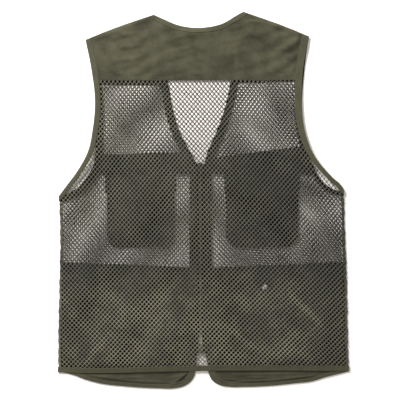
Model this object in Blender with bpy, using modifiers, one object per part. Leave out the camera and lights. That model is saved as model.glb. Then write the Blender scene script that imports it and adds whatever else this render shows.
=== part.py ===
"""Utility vest of plain twill and open net, laid flat on its front with the back up.

The neck points to +Y, the wearer's left side to -X and the back to +Z. Every table is in
millimetres, measured from the middle of the laid vest, and the floor is at height 0.
Cloth pieces are walls over a grid of points. Their heights come from one drape function,
so the layers follow each other: pockets on the floor, the fronts on them, the back on top.
"""
import math

import bmesh
import bpy
import numpy as np

MM = 0.001

# Driving sizes, in millimetres
SEAM_GAP = 0.3
CURVE_GAP = 0.6
FRONT_WALL = 1.2
BACK_WALL = 1.2
YOKE_WALL = 1.5
TAPE_WALL = 1.8
SEAM_WALL = 3.3
POCKET_WALL = 1.1
FLAP_WALL = 1.0
PILE_HEIGHT = 4.4
BACK_OVER_FRONT = 2.3
NECK_BINDING_WIDTH = 10.0
ARM_BINDING_WIDTH = 11.0
HEM_BINDING_WIDTH = 10.8
FRONT_BINDING_WIDTH = 10.0
FRONT_CORNER_WIDTH = 12.5
FACING_WIDTH = 15.5
SIDE_SEAM_WIDTH = 6.0
ARM_CUT_LENGTH = 13.0

# How many points the paths are read at
ARM_POINTS = 41
SEAM_POINTS = 17
EDGE_POINTS = 45
HEM_POINTS = 27
NECK_POINTS = 17
SHOULDER_POINTS = 9
HEM_LINE_POINTS = 61

# Heights of the seams across the vest, measured up from its middle
BACK_YOKE_SEAM = 237.9
FRONT_YOKE_SEAM = 229.0
BAND_TOP = 94.1
BAND_BOTTOM = 51.7
LOWER_FRONT_SIDE = -121.6
LOWER_FRONT_CENTRE = -133.5
BACK_HEM = -336.4

# Rows of the panels: close together between these heights, where the armholes bend
ARM_BEND_BOTTOM = -12.0
ARM_BEND_TOP = 132.0
FINE_ROW = 7.5
WIDE_ROW = 25.0
LOWER_ROW_POWER = 1.5

# Where the pile of pockets reaches its full height, and where it has run out
PILE_LEFT = {"none": -286.0, "full": -231.0}
PILE_RIGHT = {"none": 286.0, "full": 231.0}
PILE_TOP = {"none": 198.0, "full": 70.0}
PILE_BOTTOM = {"none": -358.0, "full": -301.0}

# The back's lower edge, which hangs a little to the left: (x, y)
HEM_LINE = [(-287.0, -338.8), (-230.0, -340.7), (-160.0, -340.0), (-90.0, -337.8),
            (-20.0, -336.4), (60.0, -335.6), (140.0, -335.4), (210.0, -335.8), (287.0, -336.4)]

# Slanting seams of the fronts, each through two points (x, y)
FRONT_YOKE_LINES = {"left": [(-190.0, 227.3), (-69.0, 226.2)],
                    "right": [(54.0, 230.0), (196.0, 234.0)]}
BAND_TOP_LINES = {"left": [(-190.0, 90.5), (-49.0, 94.0)],
                  "right": [(26.0, 84.5), (190.0, 106.0)]}

# Neck and shoulders of the back: (x, y) from the left shoulder end to the right one
SHOULDER_LEFT = [(-232.5, 315.7), (-172.4, 339.3), (-97.5, 364.9)]
NECK_CURVE = [(-97.5, 364.9), (-75.8, 355.1), (-58.1, 347.2), (-36.4, 341.3), (-12.8, 339.3),
              (12.8, 341.3), (36.4, 347.2), (64.0, 363.0), (77.8, 370.9)]
SHOULDER_RIGHT = [(77.8, 370.9), (144.8, 347.2), (207.8, 322.4)]

# Armholes of the back, from the shoulder end down to the side seam: (x, y)
BACK_ARM_LEFT = [(-232.5, 315.7), (-219.7, 252.7), (-213.7, 189.6), (-217.7, 142.3),
                 (-227.5, 95.1), (-249.2, 55.7), (-270.0, 28.0), (-284.7, 8.4)]
BACK_ARM_RIGHT = [(207.8, 322.4), (196.0, 252.7), (193.8, 189.6), (198.0, 142.3),
                  (213.7, 95.1), (243.3, 55.7), (257.0, 42.0), (268.0, 33.0), (276.8, 20.2)]

# Armholes of the fronts, cut deeper than those of the back
FRONT_ARM_LEFT = [(-231.5, 314.5), (-219.7, 250.0), (-212.5, 190.0), (-213.4, 128.5),
                  (-212.6, 98.0), (-216.0, 72.0), (-226.5, 50.3), (-239.5, 33.0),
                  (-255.0, 20.0), (-283.7, 6.4)]
FRONT_ARM_RIGHT = [(206.8, 321.4), (198.0, 250.0), (193.8, 190.0), (197.0, 128.5),
                   (205.0, 95.0), (214.5, 71.0), (226.0, 48.5), (240.5, 31.5),
                   (257.0, 21.0), (275.8, 16.2)]

# Outer edges of the side seams, from the armhole down to the back hem: (x, y)
SIDE_LEFT = [(-284.7, 8.4), (-282.9, -78.3), (-284.7, -176.8), (-286.4, -255.6), (-286.6, -336.4)]
SIDE_RIGHT = [(276.8, 20.2), (278.8, -54.7), (282.7, -149.2), (284.7, -255.6), (286.6, -336.4)]

# Front edges: down the neck to the point of the V, down the zip, and apart below it
FRONT_EDGE_LEFT = [(-95.5, 362.0), (-69.9, 232.9), (-60.1, 177.8), (-46.3, 132.5), (-26.6, 95.1),
                   (-12.6, 68.0), (-11.8, 30.0), (-11.8, -100.0), (-11.8, -261.5),
                   (-12.2, -295.0), (-14.8, -326.5)]
FRONT_EDGE_RIGHT = [(75.8, 368.0), (54.2, 236.9), (41.0, 177.8), (24.2, 132.5), (8.6, 97.0),
                    (0.8, 68.0), (0.0, 30.0), (0.0, -100.0), (0.0, -261.5),
                    (2.6, -295.0), (8.9, -326.5)]

# Front hems, from the side seam to the rounded centre corner
FRONT_HEM_LEFT = [(-285.4, -337.4), (-255.1, -344.3), (-231.5, -353.1), (-196.0, -362.0),
                  (-160.6, -365.9), (-89.6, -370.2), (-58.0, -370.4), (-40.0, -366.5),
                  (-27.0, -358.8), (-18.4, -346.5), (-14.8, -326.8)]
FRONT_HEM_RIGHT = [(285.4, -337.4), (241.3, -348.2), (212.0, -357.0), (182.2, -360.4),
                   (131.0, -365.5), (81.8, -367.6), (50.0, -367.3), (31.0, -363.5),
                   (18.6, -356.0), (11.2, -344.0), (8.9, -326.8)]

# Largest folds of the back: a ridge from (x0, y0) to (x1, y1), its half width and height
BACK_FOLDS = [
    {"x0": 82.0, "y0": 352.0, "x1": 118.0, "y1": 308.0, "half": 13.0, "height": 2.6},
    {"x0": 120.0, "y0": 330.0, "x1": 196.0, "y1": 300.0, "half": 15.0, "height": 2.2},
    {"x0": 176.0, "y0": 334.0, "x1": 192.0, "y1": 306.0, "half": 9.0, "height": 1.9},
    {"x0": -40.0, "y0": 318.0, "x1": 24.0, "y1": 322.0, "half": 12.0, "height": 2.0},
    {"x0": -176.0, "y0": 318.0, "x1": -120.0, "y1": 326.0, "half": 16.0, "height": 1.8},
    {"x0": -206.0, "y0": 282.0, "x1": -172.0, "y1": 236.0, "half": 16.0, "height": 2.0},
    {"x0": 62.0, "y0": 286.0, "x1": 88.0, "y1": 214.0, "half": 16.0, "height": 2.0},
    {"x0": -22.0, "y0": 60.0, "x1": -20.0, "y1": -250.0, "half": 20.0, "height": 1.8},
    {"x0": 12.0, "y0": 30.0, "x1": 16.0, "y1": -270.0, "half": 18.0, "height": 1.4},
    {"x0": 182.0, "y0": -196.0, "x1": 248.0, "y1": -300.0, "half": 19.0, "height": 2.4},
    {"x0": -188.0, "y0": -296.0, "x1": -112.0, "y1": -214.0, "half": 22.0, "height": 1.7},
]
# Folds of the front hems where they hang out below the back
HEM_FOLDS = [
    {"x0": -236.0, "y0": -346.0, "x1": -104.0, "y1": -358.0, "half": 8.0, "height": 2.0},
    {"x0": -36.0, "y0": -336.0, "x1": -60.0, "y1": -360.0, "half": 7.0, "height": 2.6},
    {"x0": 22.0, "y0": -338.0, "x1": 42.0, "y1": -360.0, "half": 7.0, "height": 2.4},
    {"x0": 96.0, "y0": -350.0, "x1": 214.0, "y1": -344.0, "half": 8.0, "height": 1.8},
]

# Pockets: outline, corner radius, and the lower edge and overhang of the flap
POCKETS = [
    {"name": "chest", "side": "left", "x0": -190.0, "x1": -58.0, "top": 47.0, "bottom": -92.0,
     "radius": 22.0, "flap_top": 55.0, "flap_bottom": 6.0},
    {"name": "chest", "side": "right", "x0": 44.5, "x1": 186.0, "top": 47.0, "bottom": -92.0,
     "radius": 22.0, "flap_top": 55.0, "flap_bottom": 6.0},
    {"name": "lower", "side": "left", "x0": -227.0, "x1": -46.0, "top": -144.0, "bottom": -283.0,
     "radius": 18.0, "flap_top": -136.0, "flap_bottom": -178.0},
    {"name": "lower", "side": "right", "x0": 42.0, "x1": 227.0, "top": -144.0, "bottom": -283.0,
     "radius": 18.0, "flap_top": -136.0, "flap_bottom": -178.0},
]
FLAP_OVERHANG = 4.0
POCKET_RIM = 9.0
FLAP_RAMP = 26.0

# Zip: its axis, chain, tape, slider, pull tab and bottom box
ZIP_X = -5.9
ZIP_TAPE_WIDTH = 24.0
ZIP_TAPE_WALL = 1.0
ZIP_TAPE_TOP = 66.0
CHAIN_WIDTH = 4.6
CHAIN_WALL = 1.5
CHAIN_TOP = 54.5
CHAIN_BOTTOM = -262.0
BOX_TOP = -284.0
BOX_BOTTOM = -300.0
BOX_WIDTH = 9.6
SLIDER_WIDTH = 9.2
SLIDER_TOP = 74.0
SLIDER_BOTTOM = 56.0
SLIDER_PLATE = 0.8
POST_WIDTH = 5.0
POST_LENGTH = 6.0
BAIL_WIDTH = 1.4
BAIL_WIRE = 0.6
BAIL_HALF_SPAN = 1.6
PIVOT_Y = 64.0
PIVOT_Z = 1.3
TAB_THICKNESS = 0.8
TAB_WIDTH = 6.0
TAB_LENGTH = 26.0
TAB_EYE_WIDTH = 3.2
TAB_EYE_LENGTH = 5.0
TAB_BAR = 0.8

STUD_X = 120.4
STUD_Y = -170.5
STUD_RADIUS = 5.0
STUD_WALL = 0.5

COLOURS = {
    "olive_twill": ((0.098, 0.092, 0.053), 0.85, 0.0),
    "olive_net": ((0.118, 0.114, 0.078), 0.8, 0.0),
    "olive_binding": ((0.112, 0.108, 0.066), 0.8, 0.0),
    "zip_chain": ((0.07, 0.07, 0.055), 0.45, 0.0),
    "zip_metal": ((0.35, 0.34, 0.31), 0.4, 0.9),
}


def clear_scene():
    for item in list(bpy.data.objects):
        bpy.data.objects.remove(item, do_unlink=True)


def make_material(name):
    colour, roughness, metallic = COLOURS[name]
    material = bpy.data.materials.get(name) or bpy.data.materials.new(name)
    material.use_nodes = True
    shader = material.node_tree.nodes["Principled BSDF"]
    shader.inputs["Base Color"].default_value = (*colour, 1.0)
    shader.inputs["Roughness"].default_value = roughness
    shader.inputs["Metallic"].default_value = metallic
    return material


def collection_named(name):
    collection = bpy.data.collections.get(name)
    if collection is None:
        collection = bpy.data.collections.new(name)
        bpy.context.scene.collection.children.link(collection)
    return collection


def link_object(name, mesh, material_name, parent=None):
    item = bpy.data.objects.new(name, mesh)
    mesh.materials.append(make_material(material_name))
    collection_named("utility_vest").objects.link(item)
    item.parent = parent
    return item


def smooth_step(value):
    value = np.clip(value, 0.0, 1.0)
    return value * value * (3.0 - 2.0 * value)


def rise(value, limits):
    """0 at limits["none"] and 1 at limits["full"], smooth between them."""
    return smooth_step((value - limits["none"]) / (limits["full"] - limits["none"]))


def fold_height(x, y, folds):
    """Sum of soft ridges, each a bell across its line that fades towards its ends."""
    total = np.zeros_like(x)
    for fold in folds:
        along_x = fold["x1"] - fold["x0"]
        along_y = fold["y1"] - fold["y0"]
        length_squared = along_x ** 2 + along_y ** 2
        along = ((x - fold["x0"]) * along_x + (y - fold["y0"]) * along_y) / length_squared
        nearest = np.clip(along, 0.0, 1.0)
        away_x = x - fold["x0"] - nearest * along_x
        away_y = y - fold["y0"] - nearest * along_y
        away = (away_x ** 2 + away_y ** 2) / fold["half"] ** 2
        fade = 0.45 + 0.55 * np.sin(math.pi * nearest)
        total = total + fold["height"] * fade * np.exp(-away)
    return total


def pile(x, y):
    """Height of what lies under the fronts: full over the pockets, none at the edges."""
    sides = np.where(x < 0.0, rise(x, PILE_LEFT), rise(x, PILE_RIGHT))
    return PILE_HEIGHT * sides * rise(y, PILE_TOP) * rise(y, PILE_BOTTOM)


def front_drape(x, y):
    """Underside of the fronts. The hem below the back carries folds of its own."""
    below_back = smooth_step((BACK_HEM - 2.0 - y) / 10.0)
    return pile(x, y) + below_back * fold_height(x, y, HEM_FOLDS)


def back_drape(x, y):
    """Underside of the back, which lies on the fronts and has its own folds."""
    return pile(x, y) + BACK_OVER_FRONT + fold_height(x, y, BACK_FOLDS)


def smooth_path(points, count):
    """Points evenly spaced along a cubic through the given ones, with chord tangents."""
    knots = np.array(points, dtype=float)
    steps = np.linalg.norm(np.diff(knots, axis=0), axis=1)
    place = np.concatenate([[0.0], np.cumsum(steps)])
    tangents = np.gradient(knots, place, axis=0)
    wanted = np.linspace(0.0, place[-1], count)
    index = np.clip(np.searchsorted(place, wanted, side="right") - 1, 0, len(steps) - 1)
    span = steps[index][:, None]
    t = ((wanted - place[index]) / steps[index])[:, None]
    start = (2 * t ** 3 - 3 * t ** 2 + 1) * knots[index]
    end = (3 * t ** 2 - 2 * t ** 3) * knots[index + 1]
    leave = (t ** 3 - 2 * t ** 2 + t) * span * tangents[index]
    arrive = (t ** 3 - t ** 2) * span * tangents[index + 1]
    return start + end + leave + arrive


def path_sideways(path):
    """Unit vectors to the left of the path's direction at each point."""
    along = np.gradient(path, axis=0)
    along = along / np.linalg.norm(along, axis=1)[:, None]
    return np.stack([-along[:, 1], along[:, 0]], axis=1)


def offset_path(path, width, side):
    """The path moved sideways: side 1 to the left of its direction, -1 to the right."""
    return path + side * path_sideways(path) * np.reshape(width, (-1, 1))


def edge_at(path, axis):
    """A function that reads the path's other coordinate from the one named by axis."""
    order = np.argsort(path[:, axis])
    known = path[order, axis]
    found = path[order, 1 - axis]
    return lambda value: np.interp(value, known, found)


def cloth(name, x, y, under, wall, material_name):
    """A closed wall over the grid of points (x, y) whose underside is at under(x, y)."""
    rows, columns = x.shape
    z = under(x, y)
    shape = bmesh.new()
    bmesh.ops.create_grid(shape, x_segments=columns - 1, y_segments=rows - 1, size=1.0)
    mesh = bpy.data.meshes.new(name)
    shape.to_mesh(mesh)
    shape.free()
    spots = np.empty(len(mesh.vertices) * 3)
    mesh.vertices.foreach_get("co", spots)
    spots = spots.reshape(-1, 3)
    column = np.rint((spots[:, 0] + 1.0) / 2.0 * (columns - 1)).astype(int)
    row = np.rint((spots[:, 1] + 1.0) / 2.0 * (rows - 1)).astype(int)
    placed = np.stack([x[row, column], y[row, column], z[row, column]], axis=1) * MM
    mesh.vertices.foreach_set("co", placed.ravel())
    mesh.update()
    item = link_object(name, mesh, material_name)
    if mesh.polygons[0].normal.z < 0.0:
        mesh.flip_normals()
    solid = item.modifiers.new("wall", "SOLIDIFY")
    solid.thickness = wall * MM
    solid.offset = 1.0
    mesh.shade_smooth()
    mesh.set_sharp_from_angle(angle=math.radians(50.0))
    return item


def panel_grid(left, right, bottom, top, across, along):
    """Grid between four edges: left and right are x at a height, bottom and top y at an x.

    across and along hold the shares, from 0 to 1, at which columns and rows stand. The
    place of a point is found by turns from its row and from its column, until they agree.
    """
    u, v = np.meshgrid(across, along)
    y = 0.5 * (bottom(0.0 * u) + top(0.0 * u)) + 0.0 * u
    for _ in range(12):
        x = left(y) + (right(y) - left(y)) * u
        y = bottom(x) + (top(x) - bottom(x)) * v
    return x, y


def even(count):
    return np.linspace(0.0, 1.0, count + 1)


def dense_ends(count):
    return 0.5 - 0.5 * np.cos(math.pi * even(count))


def level(height):
    """An edge that runs straight across at one height."""
    return lambda x: height + 0.0 * x


def ribbon(name, outer, inner, under, wall, material_name):
    """A tape between two paths with the same number of points."""
    middle = 0.5 * (outer + inner)
    x = np.stack([outer[:, 0], middle[:, 0], inner[:, 0]])
    y = np.stack([outer[:, 1], middle[:, 1], inner[:, 1]])
    return cloth(name, x, y, under, wall, material_name)


def unit(vector):
    vector = np.array(vector, dtype=float)
    return vector / np.linalg.norm(vector)


def shoulder_lines():
    """The two shoulder edges and the neck edge as smooth paths, left to right."""
    left = smooth_path(SHOULDER_LEFT, SHOULDER_POINTS)
    neck = smooth_path(NECK_CURVE, NECK_POINTS)
    right = smooth_path(SHOULDER_RIGHT, SHOULDER_POINTS)
    return left, neck, right


def neck_inner_edge(neck, left, right, width):
    """Lower edge of the neck binding. Its ends are cut along the shoulder edges."""
    inner = offset_path(neck, width, -1)
    cut = 1.2 * width
    inner[0] = neck[0] + unit(left[-2] - left[-1]) * cut
    inner[-1] = neck[-1] + unit(right[1] - right[0]) * cut
    return inner


def arm_inner_edge(outer, shoulder_direction, side_direction, width, inward):
    """Body side of an armhole tape, cut along the shoulder above and the side seam below."""
    inner = offset_path(outer, width, inward)
    inner[0] = outer[0] + unit(shoulder_direction) * width * 1.05
    inner[-1] = outer[-1] + unit(side_direction) * ARM_CUT_LENGTH
    return inner


def side_inner_edge(points, width, inward):
    path = smooth_path(points, SEAM_POINTS)
    inner = offset_path(path, width, inward)
    return path, inner


def joined_edge(upper, lower):
    """x of an edge made of two paths, one above the other, as a function of y."""
    keep = lower[:, 1] < upper[:, 1].min() - 0.5
    return edge_at(np.concatenate([upper, lower[keep]]), 1)


SIDES = {
    "left": {"arm": BACK_ARM_LEFT, "front_arm": FRONT_ARM_LEFT, "seam": SIDE_LEFT,
             "edge": FRONT_EDGE_LEFT, "hem": FRONT_HEM_LEFT, "sign": -1},
    "right": {"arm": BACK_ARM_RIGHT, "front_arm": FRONT_ARM_RIGHT, "seam": SIDE_RIGHT,
              "edge": FRONT_EDGE_RIGHT, "hem": FRONT_HEM_RIGHT, "sign": 1},
}


def shoulder_direction(side):
    """From the shoulder end towards the neck."""
    line = SHOULDER_LEFT if side == "left" else SHOULDER_RIGHT[::-1]
    return np.array(line[1]) - np.array(line[0])


def back_edges():
    """Left and right edges of the back inside its tapes, as functions of y."""
    found = {}
    for side, table in SIDES.items():
        inward = -table["sign"]
        arm = smooth_path(table["arm"], ARM_POINTS)
        arm_inner = arm_inner_edge(arm, shoulder_direction(side), (0.0, -1.0),
                                   ARM_BINDING_WIDTH + CURVE_GAP, inward)
        _, seam_inner = side_inner_edge(table["seam"], SIDE_SEAM_WIDTH + CURVE_GAP, inward)
        arm_inner[-1, 0] = seam_inner[0, 0]
        found[side] = joined_edge(arm_inner, seam_inner)
    return found["left"], found["right"]


def back_yoke():
    left_line, neck, right_line = shoulder_lines()
    inner = neck_inner_edge(neck, left_line, right_line, NECK_BINDING_WIDTH + CURVE_GAP)
    left_keep = left_line[left_line[:, 0] < inner[0, 0] - 1.0]
    right_keep = right_line[right_line[:, 0] > inner[-1, 0] + 1.0]
    top_line = np.concatenate([left_keep, inner, right_keep])
    left, right = back_edges()
    start = left(SHOULDER_LEFT[0][1])
    width = right(SHOULDER_RIGHT[-1][1]) - start
    neck_shares = (inner[:, 0] - start) / width
    across = np.concatenate([neck_shares[0] * even(6)[:-1], neck_shares,
                             neck_shares[-1] + (1.0 - neck_shares[-1]) * even(6)[1:]])
    x, y = panel_grid(left, right, level(BACK_YOKE_SEAM + SEAM_GAP / 2), edge_at(top_line, 0),
                      across, even(7))
    cloth("back_yoke", x, y, back_drape, YOKE_WALL, "olive_twill")


def row_shares(bottom, top, fine_bottom, fine_top):
    """Shares of the rows of a piece: close together where its side edge bends, else wide."""
    heights = [bottom, top]
    for start, end, step in ((bottom, min(top, fine_bottom), WIDE_ROW),
                             (max(bottom, fine_bottom), min(top, fine_top), FINE_ROW),
                             (max(bottom, fine_top), top, WIDE_ROW)):
        if end - start > 1.0:
            count = int(math.ceil((end - start) / step))
            heights.extend(np.linspace(start, end, count + 1))
    found = np.unique(np.round(heights, 6))
    return (found - bottom) / (top - bottom)


def back_net():
    left, right = back_edges()
    top = BACK_YOKE_SEAM - SEAM_GAP / 2
    hem = hem_line(HEM_BINDING_WIDTH + CURVE_GAP)
    rows = row_shares(BACK_HEM + HEM_BINDING_WIDTH, top, ARM_BEND_BOTTOM, ARM_BEND_TOP)
    x, y = panel_grid(left, right, hem, level(top), even(24), rows)
    cloth("back_net", x, y, back_drape, BACK_WALL, "olive_net")


def hem_line(above):
    """A line a set height above the back's lower edge, as y of x."""
    return shifted(edge_at(smooth_path(HEM_LINE, HEM_LINE_POINTS), 0), above)


def slanted(line):
    """The straight line through two points, as y of x."""
    (x0, y0), (x1, y1) = line
    return lambda x: y0 + (x - x0) * (y1 - y0) / (x1 - x0)


def neck_binding():
    left_line, neck, right_line = shoulder_lines()
    inner = neck_inner_edge(neck, left_line, right_line, NECK_BINDING_WIDTH)
    ribbon("neck_binding", neck, inner, back_drape, TAPE_WALL, "olive_binding")


def back_hem_binding():
    across = even(30)
    x, y = panel_grid(level(SIDE_LEFT[-1][0]), level(SIDE_RIGHT[-1][0]), hem_line(0.0),
                      hem_line(HEM_BINDING_WIDTH), across, even(2))
    cloth("back_hem_binding", x, y, back_drape, TAPE_WALL, "olive_binding")


def arm_bindings():
    for side, table in SIDES.items():
        inward = -table["sign"]
        for layer, points, drape in (("back", table["arm"], back_drape),
                                     ("front", table["front_arm"], front_drape)):
            outer = smooth_path(points, ARM_POINTS)
            inner = arm_inner_edge(outer, shoulder_direction(side), (0.0, -1.0),
                                   ARM_BINDING_WIDTH, inward)
            ribbon(f"{layer}_arm_binding_{side}", outer, inner, drape, TAPE_WALL,
                   "olive_binding")


def side_seams():
    for side, table in SIDES.items():
        path, inner = side_inner_edge(table["seam"], SIDE_SEAM_WIDTH, -table["sign"])
        arm_end = min(table["arm"][-1][1], table["front_arm"][-1][1])
        top = arm_end - ARM_CUT_LENGTH - CURVE_GAP
        bottom = float(hem_line(HEM_BINDING_WIDTH + CURVE_GAP)(table["seam"][-1][0]))
        heights = np.linspace(top, bottom, 17)
        outer = np.stack([edge_at(path, 1)(heights), heights], axis=1)
        inner = np.stack([edge_at(inner, 1)(heights), heights], axis=1)
        ribbon(f"side_seam_{side}", outer, inner, level_floor, SEAM_WALL, "olive_net")


def level_floor(x, y):
    return 0.0 * x


def front_outer_edge(side):
    """Side edge of a front inside its armhole tape and side seam, as x of y."""
    table = SIDES[side]
    inward = -table["sign"]
    arm = smooth_path(table["front_arm"], ARM_POINTS)
    arm_inner = arm_inner_edge(arm, shoulder_direction(side), (0.0, -1.0),
                               ARM_BINDING_WIDTH + CURVE_GAP, inward)
    _, seam_inner = side_inner_edge(table["seam"], SIDE_SEAM_WIDTH + CURVE_GAP, inward)
    arm_inner[-1, 0] = seam_inner[0, 0]
    return joined_edge(arm_inner, seam_inner)


def front_edge_paths(side, width):
    """Free edge of a front and the body side of its facing."""
    table = SIDES[side]
    free = smooth_path(table["edge"], EDGE_POINTS)
    inner = offset_path(free, width, table["sign"])
    line = np.array(SHOULDER_LEFT if side == "left" else SHOULDER_RIGHT[::-1])
    slope = unit(line[1] - line[2])
    inner[0] = free[0] + slope * width * 1.1
    inner[-1] = free[-1] + np.array([table["sign"] * width, 0.0])
    return free, inner


def hem_paths(side, extra):
    """Lower edge of a front and the body side of its hem tape."""
    table = SIDES[side]
    outer = smooth_path(table["hem"], HEM_POINTS)
    share = smooth_step((even(HEM_POINTS - 1) - 0.6) / 0.3)
    width = FRONT_BINDING_WIDTH + (FRONT_CORNER_WIDTH - FRONT_BINDING_WIDTH) * share + extra
    inner = offset_path(outer, width, -table["sign"])
    inner[-1] = outer[-1] + np.array([table["sign"] * width[-1], 0.0])
    return outer, inner


def front_panel(name, side, bottom, top, columns, rows, wall, material_name):
    """A piece of a front between its side edge and its facing."""
    outer_edge = front_outer_edge(side)
    _, facing_inner = front_edge_paths(side, FACING_WIDTH + CURVE_GAP)
    facing_edge = edge_at(facing_inner, 1)
    left, right = (outer_edge, facing_edge) if side == "left" else (facing_edge, outer_edge)
    x, y = panel_grid(left, right, bottom, top, even(columns), rows)
    cloth(f"{name}_{side}", x, y, front_drape, wall, material_name)


def lower_front_top(side):
    """Seam between the window net and the solid lower front, which slopes to the centre."""
    seam_x = abs(SIDES[side]["seam"][0][0])
    return lambda x: LOWER_FRONT_CENTRE + (LOWER_FRONT_SIDE - LOWER_FRONT_CENTRE) * abs(x) / seam_x


def shifted(edge, amount):
    return lambda value: edge(value) + amount


def fronts():
    for side in SIDES:
        line = SHOULDER_LEFT if side == "left" else SHOULDER_RIGHT
        shoulder = edge_at(smooth_path(line, SHOULDER_POINTS), 0)
        yoke_seam = slanted(FRONT_YOKE_LINES[side])
        band_top = slanted(BAND_TOP_LINES[side])
        front_panel("front_yoke", side, yoke_seam, shifted(shoulder, -0.6), 8, even(12),
                    FRONT_WALL, "olive_twill")
        front_panel("front_net", side, shifted(band_top, SEAM_GAP),
                    shifted(yoke_seam, -SEAM_GAP), 9,
                    row_shares(BAND_TOP, FRONT_YOKE_SEAM, ARM_BEND_BOTTOM, ARM_BEND_TOP),
                    FRONT_WALL, "olive_net")
        front_panel("chest_band", side, level(BAND_BOTTOM), band_top, 10, even(8),
                    FRONT_WALL, "olive_twill")
        seam = lower_front_top(side)
        window_top = BAND_BOTTOM - SEAM_GAP
        front_panel("window_net", side, shifted(seam, SEAM_GAP), level(window_top), 12,
                    row_shares(LOWER_FRONT_CENTRE, window_top, ARM_BEND_BOTTOM, ARM_BEND_TOP),
                    FRONT_WALL, "olive_net")
        lower_panel(side)


def lower_panel(side):
    """Solid lower front, down to the hem tape and round the centre corner."""
    table = SIDES[side]
    _, seam_inner = side_inner_edge(table["seam"], SIDE_SEAM_WIDTH + CURVE_GAP, -table["sign"])
    outer_edge = edge_at(seam_inner, 1)
    _, facing_inner = front_edge_paths(side, FACING_WIDTH + 2 * CURVE_GAP)
    facing_edge = edge_at(facing_inner, 1)
    left, right = (outer_edge, facing_edge) if side == "left" else (facing_edge, outer_edge)
    _, hem_inner = hem_paths(side, CURVE_GAP)
    from_left = left(hem_inner[:, 1])
    shares = (hem_inner[:, 0] - from_left) / (right(hem_inner[:, 1]) - from_left)
    inside = np.sort(shares[(shares > 0.012) & (shares < 0.988)])
    across = np.concatenate([[0.0], inside, [1.0]])
    x, y = panel_grid(left, right, edge_at(hem_inner, 0), lower_front_top(side), across,
                      even(15) ** LOWER_ROW_POWER)
    cloth(f"lower_front_{side}", x, y, front_drape, FRONT_WALL, "olive_twill")


def facings_and_hems():
    for side in SIDES:
        free, inner = front_edge_paths(side, FACING_WIDTH)
        ribbon(f"front_facing_{side}", free, inner, front_drape, TAPE_WALL, "olive_twill")
        outer, hem_inner = hem_paths(side, 0.0)
        ribbon(f"front_hem_binding_{side}", outer, hem_inner, front_drape, TAPE_WALL,
               "olive_binding")


def pocket_bottom(pocket, x0, x1, bottom, radius):
    """Lower edge of a pocket or flap: straight, with round corners of the given radius."""
    def edge(x):
        inset = np.minimum(x - x0, x1 - x)
        into = np.clip(radius - inset, 0.0, radius)
        return bottom + radius - np.sqrt(radius ** 2 - into ** 2)
    return edge


def pockets():
    """Bellows pockets pressed flat: a face on the floor whose rim rises to the front."""
    for pocket in POCKETS:
        x0, x1 = pocket["x0"], pocket["x1"]
        bottom = pocket_bottom(pocket, x0, x1, pocket["bottom"], pocket["radius"])
        x, y = panel_grid(level(x0), level(x1), bottom, level(pocket["top"]),
                          dense_ends(12), dense_ends(12))

        def face_height(px, py, pocket=pocket, bottom=bottom):
            inset = np.minimum(px - pocket["x0"], pocket["x1"] - px)
            inset = np.minimum(inset, py - bottom(px))
            rim = 1.0 - smooth_step(inset / POCKET_RIM)
            above_flap = (py - pocket["flap_bottom"] + FLAP_RAMP + POCKET_RIM) / FLAP_RAMP
            over_flap = (FLAP_WALL + SEAM_GAP) * smooth_step(above_flap)
            highest = PILE_HEIGHT - SEAM_GAP - POCKET_WALL - 0.2
            return over_flap + rim * (highest - over_flap)

        cloth(f"{pocket['name']}_pocket_{pocket['side']}", x, y, face_height, POCKET_WALL,
              "olive_twill")
        flap_x0 = x0 - FLAP_OVERHANG
        flap_x1 = x1 + FLAP_OVERHANG
        flap_edge = pocket_bottom(pocket, flap_x0, flap_x1, pocket["flap_bottom"],
                                  pocket["radius"] * 0.6)
        x, y = panel_grid(level(flap_x0), level(flap_x1), flap_edge, level(pocket["flap_top"]),
                          dense_ends(10), even(3))
        cloth(f"{pocket['name']}_flap_{pocket['side']}", x, y, level_floor, FLAP_WALL,
              "olive_twill")


def block(name, size, centre):
    """A box of the given size in millimetres, kept as a mesh object out of collections."""
    bpy.ops.mesh.primitive_cube_add(size=1.0)
    item = bpy.context.object
    item.name = name
    for vertex in item.data.vertices:
        vertex.co.x = vertex.co.x * size[0] * MM + centre[0] * MM
        vertex.co.y = vertex.co.y * size[1] * MM + centre[1] * MM
        vertex.co.z = vertex.co.z * size[2] * MM + centre[2] * MM
    for collection in list(item.users_collection):
        collection.objects.unlink(item)
    return item


def add_cutter(target, tool, operation):
    """Joins or cuts the target with the tool, which stays hidden among the cutters."""
    collection_named("cutters").objects.link(tool)
    tool.hide_render = True
    tool.display_type = "WIRE"
    cut = target.modifiers.new(tool.name, "BOOLEAN")
    cut.object = tool
    cut.operation = operation
    cut.solver = "EXACT"


def finish_block(item, material_name, parent=None):
    item.data.materials.append(make_material(material_name))
    collection_named("utility_vest").objects.link(item)
    item.parent = parent
    return item


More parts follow.
